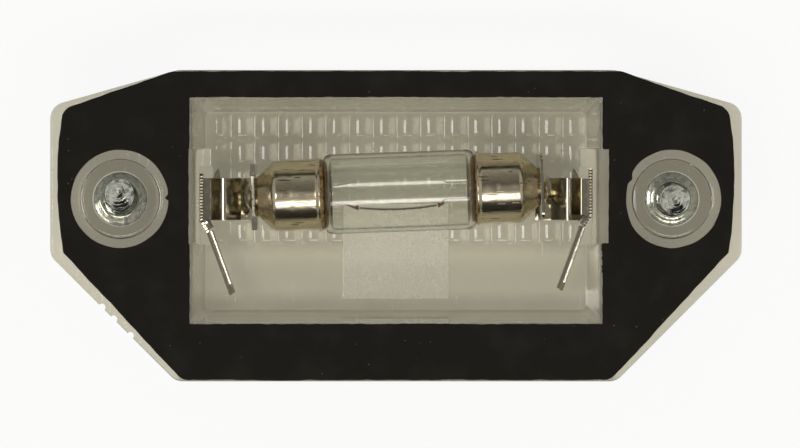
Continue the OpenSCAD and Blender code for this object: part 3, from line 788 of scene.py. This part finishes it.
def strip_rings(path, low, high, first, second, lift, edge=0.05, tilt=0.0):
    """Carries a sheet's section along a flat path, between low and high across it.

    First and second are the directions of the path's two numbers, and lift stands across them.
    The section is a rectangle with rounded corners: n runs across the sheet, and e is how far a point
    of a corner's arc stays inside the rim. The first and last ring are drawn in, which rounds the ends.
    A tilt slopes the upper rim, as a sheared edge is.
    """
    count = len(path)
    rise, inset = quarter_round(edge, 4)
    n = sheet_t / 2 - np.concatenate([inset, rise])
    n = np.concatenate([-n[:4], n[4:], n[:4], -n[4:]])
    e = np.concatenate([rise, inset] * 2)
    upper = np.repeat([False, True], 8)
    low, high = np.broadcast_to(low, count)[:, None], np.broadcast_to(high, count)[:, None]
    shrink = np.ones((count, 1))
    shrink[[0, -1]] = 0.7
    flat = path[:, None] + side_of(path)[:, None] * (n * shrink)[..., None]
    inwards = e + (1 - shrink) * 0.2
    height = np.where(upper, high - inwards + tilt * n, low + inwards)
    return flat[..., :1] * first + flat[..., 1:] * second + height[..., None] * lift


def teeth(run, first, last, count, share, depth, top_slope=0.18, gap_slope=0.48):
    """How far the edge is cut down along a run: count teeth with sloping tops and sloping gaps between.

    Within each pitch t runs from 0 to 1, first along the gap and then along the tooth.
    """
    t = (run - first) / (last - first) * count
    inside = (t > 0) & (t < count)
    gap = (t % 1 < share) & inside
    pitch = (last - first) / count
    along = t % 1 * pitch
    return np.where(gap, depth + gap_slope * along, inside * top_slope * (along - share * pitch))


def sloping(slope):
    """Directions along and across a strip that runs down at a slope off the upright."""
    return np.array([math.sin(slope), -math.cos(slope)]), np.array([math.cos(slope), math.sin(slope)])


def wall_and_blade(side):
    """Wall plate, neck and blade as one strip on edge, with its toothed rear edge.

    The blade is doubled, and its end is chamfered by 1 mm. On either side one layer has a sheared rim.
    """
    wall_top = plate_corner_y[side]
    x = -wall_x + sheet_t / 2
    corner = np.array([x, wall_top - wall_plate_h])
    neck_way, neck_inner = sloping(neck_slope)
    way, inner = sloping(tab_slope)
    blade_start = corner + neck_way * neck_run
    end = blade_start + way * tab_l
    sheared, plain = {"left": (0.15, -0.1), "right": (0.09, 0.1)}[side], (0.05, 0.0)
    first_rim, second_rim = (plain, sheared) if side == "left" else (sheared, plain)
    count, layer_count = 760, 90
    path = resample(bent([(x, wall_top), corner, blade_start, end], 0.6), count)
    run = np.linspace(0, wall_plate_h + neck_run + tab_l, count)
    top = ledge_z + tab_w
    cut = teeth(run, 0.1, wall_plate_h - 0.05, 15, 0.5, 0.5)
    cut += teeth(run, wall_plate_h + 0.15, wall_plate_h + neck_run, 4, 0.4, 0.5, 0.24)
    past = np.clip(run - run[-1] + 1.0, 0, 1)
    rings = strip_rings(path, ledge_z + past, top - cut - past, X, Y, Z, *first_rim)
    beside = inner * sheet_t * 0.98 - way * 0.1
    second = resample([blade_start + beside, end + beside], layer_count)
    past = np.clip(np.linspace(0, tab_l, layer_count) - tab_l + 1.0, 0, 1)
    doubled_layer = strip_rings(second, ledge_z + past, top - 0.08 - past, X, Y, Z, *second_rim)
    foot = corner + neck_way * stay_gap + neck_inner * sheet_t * 0.3
    corners = [foot + neck_way * stay_l, foot, foot + neck_inner * stay_w]
    corners = np.array(corners + [corners[0] + neck_inner * stay_w])[::-1]
    levels = [(0, ledge_z), (0, top - 0.75), (0.05, top - 0.62), (0.15, top - 0.6)]
    stay = stack(layered(corners, 0.1, levels, 4))
    return joined(stack(rings), stack(doubled_layer), stay)


def spring_strip():
    """Wavy strip from the ledge to the foot of the bulb's plate, seen from its side as a path."""
    x, z = -wall_x + sheet_t / 2, ledge_z + sheet_t / 2
    lean = plate_half * math.sin(plate_lean)
    foot_x = -(seat_s + seat_gap + sheet_t / 2 - lean) + 0.2
    foot_z = bulb_at[2] - plate_half * math.cos(plate_lean) + sheet_t / 2
    reach = foot_x - x
    path = [(x + reach * share, z + lift) for share, lift in ((0, 0), (0.17, 0), (0.38, 1), (0.7, 0.1))]
    path = resample(bent(path + [(foot_x, foot_z)], [0.5, 0.6, 0.7]), 130)
    return stack(strip_rings(path, strip_y - strip_w / 2, strip_y + strip_w / 2, X, Z, Y))


def bulb_plate(side):
    """Plate round the bulb's nose: a square with round corners outside, a flared hole inside."""
    sign = -1 if side == "left" else 1
    count, hole = 160, 2.45
    a = full_turn(count)
    circle = np.stack([np.cos(a), np.sin(a)], -1)
    square = outline(rectangle((-plate_half, -plate_half), (plate_half, plate_half)), 1.0)
    square = resample(square, count, closed=True)
    square = np.roll(square, -np.argmin(np.abs(np.arctan2(square[:, 1], square[:, 0]))), axis=0)
    t, e = sheet_t / 2, 0.07
    section = [(0, 0.06, -t), (0, 0, e - t), (0, 0, t - e), (0, 0.06, t), (0.35, 0, t)]
    section += [(1, -e, t), (1, 0, t - e), (1, 0, e - t), (1, -e, -t), (0.35, 0, -t)]
    rings = [at_z(circle * (hole * (1 - share) + out) + square * share, x) for share, out, x in section]
    u, v, w = np.moveaxis(np.array(rings), -1, 0)
    along = math.cos(plate_lean) * w + math.sin(plate_lean) * v * sign
    up = math.cos(plate_lean) * v - math.sin(plate_lean) * w * sign
    s = sign * (seat_s + seat_gap + sheet_t / 2) + along
    return stack(on_bulb(s, u, up), loop=True)


def plate_ears():
    """Two lips folded outwards at the rear corners of the left plate."""
    lips = []
    s = plate_half * math.sin(plate_lean) - seat_s - seat_gap
    levels = [(0, 3.55), (0, 3.94), (0.02, 3.98), (0.06, plate_half)]
    for low, high in ((-3.95, -2.3), (2.45, 3.95)):
        rings = layered(rectangle((s - 0.85, low), (s - 0.1, high)), 0.15, levels, 4)
        lips.append(stack(on_bulb(*np.moveaxis(np.array(rings), -1, 0))))
    return joined(*lips)


def on_bulb(s, u, v):
    """Points of the bulb's own frame: s along its axis, u across it and v up, in the lamp's frame."""
    x = bulb_at[0] + s * math.cos(bulb_tilt) - u * math.sin(bulb_tilt)
    y = bulb_at[1] + s * math.sin(bulb_tilt) + u * math.cos(bulb_tilt)
    return np.stack([x, y, bulb_at[2] + v], -1)


def barb():
    """Small pointed barb that keeps the foot from sliding."""
    x, y = -wall_x + 1.55, strip_y + strip_w / 2
    corners = np.array([(-0.1, -0.3), (0.7, -0.3), (0.75, 0.4), (0.6, 1.3), (0, 0.3)]) + (x, y)
    levels = [(inset, ledge_z + z) for inset, z in ((0, 0), (0, 0.3), (0.05, 0.38), (0.1, 0.4))]
    return stack(layered(corners, 0.08, levels, 3))


def mirrored(body):
    """The body for the other end: X turned round."""
    points, faces = body
    return points * (-1, 1, 1), [face[::-1] for face in faces]


for side in ("left", "right"):
    half = joined(wall_and_blade(side), spring_strip(), barb())
    half = mirrored(half) if side == "right" else half
    shape = joined(half, bulb_plate(side), *([plate_ears()] if side == "left" else []))
    contact = finished(object_of("spring_contact_" + side, shape), "contact_" + side, tin, 12)

# %% [markdown]
# Bulb
#
# A festoon bulb is a glass tube with a nickel cap cemented to each end. All of it is round about one
# axis, so each piece is a profile turned round that axis, with small dents and ripples added by angle.

# %% The bulb's finishes


def bulb_glass_finish():
    """Clear drawn glass, faintly wavy and smeared, with painted shade where the eye runs along its wall."""
    f = Finish("bulb_glass")
    wave = f.noise(0.35, detail=1.0, stretch=(0.3, 1, 1))
    smear = f.noise(0.8, detail=3.0).ramp(0.55, 0.8)
    # Painted shade: the glass's colour turns dark where the eye runs along its wall, standing in for its
    # dark outline.
    edge = f.add("LayerWeight", None, {"Blend": 0.5}, out="Facing").ramp(0.58, 0.82)
    tone = f.mix(smear * 0.3, (0.975, 0.985, 0.955), (0.93, 0.93, 0.88))
    return f.surface(
        clear_to_lamps=(0.93, 0.94, 0.93),
        Base_Color=f.mix(edge, tone, (0.06, 0.065, 0.045)),
        Roughness=0.003 + 0.01 * smear,
        IOR=1.52,
        Transmission_Weight=1.0,
        Normal=f.bump(wave, 0.012),
    )


def nickel():
    """Bright nickel plate, warm in tone, with fine scratches, small pits and slightly dull clouds."""
    f = Finish("nickel")
    cloud = f.noise(0.7, detail=3.0).ramp(0.35, 0.7)
    pits = f.cells(2.6).ramp(0.12, 0.04) * f.noise(1.2).ramp(0.5, 0.62)
    scratch = f.noise(1.4, detail=1.0, stretch=(0.2, 3.2, 3.2)).ramp(0.7, 0.78)
    dash = f.noise(1.1, detail=0.0, stretch=(0.5, 3.5, 3.5)).ramp(0.72, 0.77)
    dents = f.noise(1.7, detail=1.0) + 0.25 * f.noise(5.5, detail=1.0)
    tone = f.mix(cloud, (0.71, 0.635, 0.465), (0.63, 0.555, 0.4))
    tone = f.mix(pits * 0.6, tone, (0.26, 0.2, 0.12))
    tone = f.mix(dash * 0.8, tone, (0.1, 0.07, 0.035))
    return f.surface(
        Base_Color=tone,
        Metallic=1.0,
        Roughness=0.18 + 0.06 * cloud + 0.12 * scratch,
        Normal=f.bump(0.5 * dents - 0.5 * pits - 0.15 * scratch - 0.3 * dash, 0.015),
    )


def cement():
    """Brown lamp cement: dark and glossy in its hollows, paler and duller on its lumps."""
    f = Finish("cement")
    lump = f.noise(2.0, detail=4.0, roughness=0.65)
    tone = f.mix(lump.ramp(0.3, 0.7), (0.11, 0.055, 0.014), (0.5, 0.32, 0.12))
    return f.surface(
        Base_Color=tone,
        Roughness=0.16 + 0.25 * lump,
        Normal=f.bump(lump, 0.08),
    )


def solder_finish():
    """Dull tin solder with a grainy skin."""
    f = Finish("solder")
    grain = f.noise(6.0, detail=3.0)
    tone = f.mix(grain.ramp(0.3, 0.7), (0.42, 0.41, 0.38), (0.62, 0.61, 0.57))
    return f.surface(
        Base_Color=tone,
        Metallic=1.0,
        Roughness=0.3 + 0.2 * grain,
        Normal=f.bump(grain, 0.03),
    )


def dark_wire(name, pale, dark):
    """Oxidised wire whose tone wanders along its length."""
    f = Finish(name)
    patch = f.noise(1.5, detail=3.0)
    tone = f.mix(patch.ramp(0.35, 0.65), dark, pale)
    return f.surface(
        Base_Color=tone,
        Metallic=0.85,
        Roughness=0.34 + 0.2 * patch,
        Normal=f.bump(patch, 0.02),
    )


# %% The bulb's pieces
glass_r, glass_half, glass_t, neck_r, neck_s = 4.8, 8.9, 0.5, 3.1, 11.5
glass_shift = 0.45
cap_r, rim_s, cone_s, nose_s, rim_out = 4.25, 9.5, 14.85, 18.05, 0.22
axis_way = np.array([math.cos(bulb_tilt), math.sin(bulb_tilt), 0])
axis_side = np.array([-math.sin(bulb_tilt), math.cos(bulb_tilt), 0])


def glass_profile(wall):
    """Outline of the glass from its left closed neck to its right one, moved in by the wall."""
    halves = []
    for reach in (glass_half, glass_half + glass_shift):
        r, end, neck = glass_r - wall, reach - wall, neck_r - wall
        path = [(0, r), (end, r), (end, neck), (neck_s - wall, neck), (neck_s - wall, 0.02)]
        halves.append(bent(path, [0.95 - wall * 0.6, 0.3 + wall * 0.4, 0.5], 12))
    return np.concatenate([(halves[0] * (-1, 1))[:0:-1], halves[1]])


def glass_skin(wall):
    """One skin of the glass, moved in by the wall."""
    return revolved(glass_profile(wall), bulb_at, axis_way, axis_side, 128)


def glass_object():
    """Outer skin, and inner skin turned to face the hollow, as one mesh."""
    piece = object_of("bulb_tube", glass_skin(0.0))
    inner = object_of("inner", glass_skin(glass_t))
    inner.data.flip_normals()
    work = bmesh.new()
    work.from_mesh(piece.data)
    work.from_mesh(inner.data)
    work.to_mesh(piece.data)
    work.free()
    bpy.data.objects.remove(inner)
    return piece


def cap_rings(side):
    """Cap: outside from rim to eyelet and back inside, with a few shallow dents."""
    seat_r, eyelet, t = 2.3, 0.6, 0.3
    rim = rim_s - (0.25 if side < 0 else 0.0)
    a = np.linspace(0, np.pi / 2, 9)
    nose = np.stack([seat_s + 1.25 * np.sin(a), eyelet + (seat_r - eyelet) * np.cos(a)], -1)
    lip = [(0, rim_out - 0.05), (0.05, rim_out), (0.2, rim_out), (0.32, rim_out - 0.06), (0.5, 0.015)]
    lip = np.array(lip) + (rim, cap_r)
    wall = bent([(rim + 0.62, cap_r), (cone_s, cap_r), (seat_s, seat_r)], 0.9, 12)
    wall = np.concatenate([np.linspace(wall[0], wall[1], 24), wall[2:]])
    inside = [(nose_s - t * 0.8, eyelet), (seat_s, seat_r - t), (cone_s - t * 0.4, cap_r - t)]
    profile = np.concatenate([lip, wall, nose[1:], inside, [(rim, cap_r - t)]])
    places = random.uniform([rim_s + 1, -1.2], [cone_s - 0.3, 2.4], (9, 2))
    sizes = random.uniform(0.012, 0.03, 9) * random.choice([-1, -1, 1], 9)

    def dented(s, r, angle):
        for (at, turn), size in zip(places, sizes):
            off = (angle - turn + np.pi) % (2 * np.pi) - np.pi
            near = ((s - at) / 0.35) ** 2 + (off * cap_r / 0.45) ** 2
            r = r + size * np.exp(-near) * (r > cap_r - 0.1)
        return s * side, r

    return revolved(profile, bulb_at, axis_way, axis_side, 160, loop=True, reshape=dented)


def cement_ring(side):
    """Cement between glass and cap: a lumpy ring that fills the rim."""
    seal = neck_s + 0.3
    start = glass_half + (glass_shift if side > 0 else 0.0)
    profile = [(start, neck_r), (start - 0.02, cap_r - 0.3), (start + 0.03, cap_r - 0.12),
               (start + 0.1, cap_r - 0.02), (rim_s, cap_r - 0.01), (rim_s, cap_r - 0.3),
               (seal, cap_r - 0.3), (seal, 0.15), (neck_s, 0.15), (neck_s, neck_r)]
    wave = ripple(96, [3, 7, 12, 19], 0.03)

    def lumpy(s, r, angle):
        shown = (s < rim_s - 0.01) & (r > neck_r + 0.1)
        return s * side, r + wave * shown

    return revolved(profile, bulb_at, axis_way, axis_side, 96, loop=True, reshape=lumpy)


def solder_drop(side):
    """Drop of solder on the nose: a low dome whose edge runs unevenly."""
    a = np.linspace(0, np.pi / 2, 9)
    dome = np.stack([nose_s - 0.05 + 0.41 * np.sin(a), 1.1 * np.cos(a)], -1)
    profile = np.concatenate([[(nose_s - 0.6, 0.02), (nose_s - 0.6, 0.6), (nose_s - 0.05, 0.6)], dome])
    wave = ripple(48, [2, 3, 5], 0.04)

    def uneven(s, r, angle):
        return s * side, r * (1 + wave * (r > 0.7))

    return revolved(profile, bulb_at, axis_way, axis_side, 48, reshape=uneven)


def filament_route(t):
    """Middle line of the filament for t from 0 to 1: hangs beside the axis and sags between its ends."""
    return np.stack([9.3 * (t - 0.5), -1.75 - 0.32 * 4 * t * (1 - t)], -1)


def lead_body(side):
    """Lead from the nose through the neck, hooked into a crimp on the filament's end."""
    end = filament_route(1.0 if side > 0 else 0.0)
    near = filament_route(0.97 if side > 0 else 0.03)
    way = unit(end - near)
    hook = end + np.array([0.75, 0.7]) if side > 0 else end + way * 1.4 + (0, 0.25)
    route = [(side * 17.45, 0), (side * 10.8, 0), (side * 8.4, -1.05)]
    route += [hook, end + way * 0.75, end + way * 0.1]
    count = 120
    smooth = resample(bent(route, [1.0, 0.5, 0.4, 0.15], 8), count)
    reach = np.linalg.norm(smooth - end, axis=1)
    radius = 0.13 + 0.16 * np.exp(-((reach / 0.42) ** 6)) + 0.01 * np.sin(np.arange(count) * 0.9)
    return tube(on_bulb(smooth[:, 0], smooth[:, 1], 0 * radius), radius, 10)


def filament_body(turns=92, coil=0.12, wire=0.028):
    """Helix round the filament's route: point = route + coil * (side * cos a + up * sin a)."""
    t = np.linspace(0, 1, turns * 9)
    a = 2 * np.pi * turns * t
    route = filament_route(t)
    across = side_of(route)
    flat = route + across * (coil * np.cos(a))[:, None]
    return tube(on_bulb(flat[:, 0], flat[:, 1], coil * np.sin(a)), wire, 5)


glass = finished(glass_object(), "bulb_glass", bulb_glass_finish(), 60, False)

nickel_plate, brown_cement, dull_solder = nickel(), cement(), solder_finish()
lead_finish = dark_wire("lead", (0.26, 0.13, 0.1), (0.06, 0.02, 0.014))
for name, side in (("left", -1), ("right", 1)):
    made = [
        ("nickel_cap_", "bulb_cap_", cap_rings(side), nickel_plate, "nickel"),
        ("cement_ring_", "cap_cement_", cement_ring(side), brown_cement, "cement"),
        ("solder_drop_", "solder_", solder_drop(side), dull_solder, "solder"),
        ("lead_", "lead_wire_", lead_body(side), lead_finish, "lead"),
    ]
    for new, node, shape, finish, slot in made:
        finished(object_of(new + name, shape), node + name, finish, 60, False)

tungsten = dark_wire("tungsten", (0.3, 0.25, 0.22), (0.12, 0.09, 0.075))
coil = finished(object_of("coiled_filament", filament_body()), "filament", tungsten, 80, False)

# %% [markdown]
# Screws
#
# Each screw is one surface of two parameters, the angle and the distance along the axis: the thread is
# a ridge whose place along the axis moves with the angle. Its head lies on the lens side.

# %% Zinc and the screws


def zinc():
    """Bluish zinc plate, mottled and darkly stained, with small dents along the thread."""
    f = Finish("zinc")
    mottle = f.noise(2.0, detail=3.0)
    stain = f.noise(1.5, detail=2.0).ramp(0.48, 0.66)
    tone = f.mix(mottle.ramp(0.3, 0.7), (0.7, 0.72, 0.64), (0.97, 0.99, 0.9))
    tone = f.mix(stain * 0.8, tone, (0.16, 0.17, 0.14))
    on_thread = f.axes()[2].ramp(13.0, 13.8)
    dents = mottle * 0.4 + (0.6 * mottle + 0.9 * f.noise(4.5, detail=2.0)) * on_thread
    return f.surface(
        Base_Color=tone,
        Metallic=1.0,
        Roughness=0.06 + 0.07 * mottle,
        Normal=f.bump(dents, 0.03),
    )


def screw_body(side, lean_x, lean_y, base_z):
    """Head with a cross recess, plain neck, helical thread and pointed tip, as one stack of rings.

    It leans by two angles in degrees, and base_z is the height of the head's rear face.
    """
    lx, ly = math.radians(lean_x), math.radians(lean_y)
    along = np.array([math.cos(ly) * math.sin(lx), math.sin(ly), math.cos(ly) * math.cos(lx)])
    across = unit(np.cross([0, 1.0, 0], along))
    head_r, head_h, rim_r, arm, half_slot = 3.25, 2.4, 3.1, 1.75, 0.42
    neck, shank, core, length, tip, pitch = 1.45, 1.75, 1.22, 13.0, 3.4, 1.25
    a = full_turn(72)[None, :]

    rho = np.linspace(0.01, 2.9, 40)[:, None] + 0 * a
    cx, cy = np.abs(rho * np.cos(a)), np.abs(rho * np.sin(a))
    slot_x, slot_y = [
        np.clip((half_slot - beside) / 0.12, 0, 1) * np.clip((arm - along_arm) / 0.3, 0, 1)
        for along_arm, beside in ((cx, cy), (cy, cx))
    ]
    dome = -head_h * (0.4 + 0.6 * np.sqrt(1 - (rho / head_r) ** 4))
    cap = dome + 1.5 * np.maximum(slot_x, slot_y)
    under_r = np.linspace(rim_r, neck, 34)
    under_s = -0.15 * ((under_r - neck) / (rim_r - neck)) ** 2
    under_s = under_s - 0.008 * (1 - np.cos(2 * np.pi * (rim_r - under_r) / 0.42))
    under_s = np.concatenate([[-1.2, -0.96, -0.12, -0.03], under_s])[:, None] + 0 * a
    under_r = np.concatenate([[3.17, head_r, head_r, 3.2], under_r])[:, None] + 0 * a

    s = np.linspace(0.02, length, 330)[:, None] + 0 * a
    phase = (s / pitch - a / (2 * np.pi)) % 1
    ridge = np.clip(1 - np.abs(phase - 0.5) / 0.24, 0, 1) ** 0.8 + 0.06 * np.cos(6 * np.pi * phase)
    starts = np.clip((s - 2.0) / 0.7, 0, 1)
    shrink = np.clip((length - s) / tip, 0, 1)
    r = (neck + (core - neck) * starts) * np.where(s > length - tip, shrink, 1)
    r = r + (shank - core) * ridge * starts * np.sqrt(shrink)
    limit = np.where(s > length - tip, 0.1 + (shank - 0.1) * shrink, shank)
    r = np.minimum(r, limit)

    s = np.concatenate([cap, under_s, s])
    r = np.concatenate([rho, under_r, r])
    return stack(round_axis(s, r, a, (side * screw_xy[0], screw_xy[1], base_z), along, across))


zinc_plate = zinc()
for name, side, lean_x, lean_y, base_z in (("left", -1, 1, 4, 12.3463), ("right", 1, 1, -1, 12.4998)):
    screw = object_of("zinc_screw_" + name, screw_body(side, lean_x, lean_y, base_z))
    finished(screw, "screw_" + name, zinc_plate, 45, False)

# %% [markdown]
# Floor, light and camera
#
# The photo was taken from straight above on white. A long soft box stands towards the lower edge of the
# picture and makes the bright band on the bulb's caps. A weaker, warmer one round it softens that band,
# and a small one on the left draws the streaks on the pillow optics and the blades. The rest is an even
# grey room with three darker places. The floor looks white to the camera and keeps the lamp's shadow.
# It is a plain pale floor for soft light, and a little brighter where the lamp mirrors it or is clear.

# %% Floor


def floor_finish():
    """Pale floor whose white is only for the eye: most of its camera colour doesn't depend on light."""
    f = Finish("floor")
    shares = {"Is Camera Ray": 0.86, "Is Glossy Ray": 0.29, "Is Transmission Ray": 0.19}
    camera_part, glossy_part, clear_part = [f.add("LightPath", out=ray) * shares[ray] for ray in shares]
    seen = camera_part + glossy_part + clear_part
    tone = f.mix(f.noise(0.02).ramp(0.3, 0.7), (0.9, 0.9, 0.9), (0.88, 0.88, 0.88))
    lit = f.add("BsdfDiffuse", None, {"Color": tone})
    glow = f.add("Emission", None, {"Color": (1, 1, 1), "Strength": 1.04})
    shader = f.add("MixShader", None, {0: seen, 1: lit, 2: glow})
    f.add("OutputMaterial", None, {"Surface": shader})
    return f.made


reach, floor_z = 3000.0, -0.05
corners = [(-reach, -reach), (reach, -reach), (reach, reach), (-reach, reach)]
floor = object_of("floor", (at_z(corners, floor_z), [[0, 1, 2, 3]]))
floor.data.materials.append(floor_finish())

# %% Light


def soft_box(name, place, width, height, level, colour):
    """Area lamp aimed at the origin. Its power is its brightness times pi times its area."""
    lamp = bpy.data.lights.new(name, "AREA")
    lamp.shape = "RECTANGLE"
    lamp.size, lamp.size_y = width, height
    lamp.energy = level * math.pi * width * height
    lamp.color = colour
    rig = bpy.data.objects.new(name, lamp)
    bpy.context.scene.collection.objects.link(rig)
    rig.location = place
    rig.rotation_euler = Vector(place).to_track_quat("Z", "Y").to_euler()


def from_zenith(degrees_x, degrees_y, distance):
    """Place at a distance from the lamp, tipped off the vertical towards X and Y."""
    tx, ty = math.tan(math.radians(degrees_x)), math.tan(math.radians(degrees_y))
    way = np.array([tx, ty, 1.0])
    return tuple(way / np.linalg.norm(way) * distance)


key, glow, beside = from_zenith(0, -27, 0.9), from_zenith(0, -26, 0.95), from_zenith(-15, 0, 0.9)
soft_box("key", key, width=0.6, height=0.16, level=5.4, colour=(1.0, 0.985, 0.95))
soft_box("glow", glow, width=0.6, height=0.28, level=0.6, colour=(1.0, 0.9, 0.7))
soft_box("side", beside, width=0.15, height=0.19, level=8.0, colour=(1.0, 0.99, 0.96))


def room():
    """Even grey room: darker straight above, low on the key lamp's side, and high on the other side."""
    f = Finish("room", "worlds", "Generated")
    bpy.context.scene.world = f.made
    x, y, z = [f.add("SeparateXYZ", None, {0: f.place}, out=k) for k in range(3)]
    above = z.ramp(0.87, 0.99)
    low_front = y.ramp(-0.58, -0.68) * x.size().ramp(0.75, 0.5)
    behind = z.ramp(0.35, 0.9) * x.size().ramp(0.4, 0.15) * y.ramp(0.05, 0.2)
    level = (0.44 - 0.05 * y.ramp(0.1, 0.5)) * (1 - 0.6 * above) * (1 - 0.95 * low_front)
    level = level * (1 - 0.6 * behind)
    seen = f.add("LightPath", out="Is Camera Ray")
    level = level + (1.0 - level) * seen
    shader = f.add("Background", None, {"Color": (1.0, 0.975, 0.92), "Strength": level})
    f.add("OutputWorld", None, {"Surface": shader})


room()

# %% Camera
camera_data = bpy.data.cameras.new("camera")
camera = bpy.data.objects.new("camera", camera_data)
bpy.context.scene.collection.objects.link(camera)
bpy.context.scene.camera = camera
camera_data.lens = 375
camera_data.sensor_width = 36
camera_data.clip_end = 20
camera.location = (0.00048, 0.0002, 1.0094)
bpy.context.scene.view_settings.view_transform = "Standard"
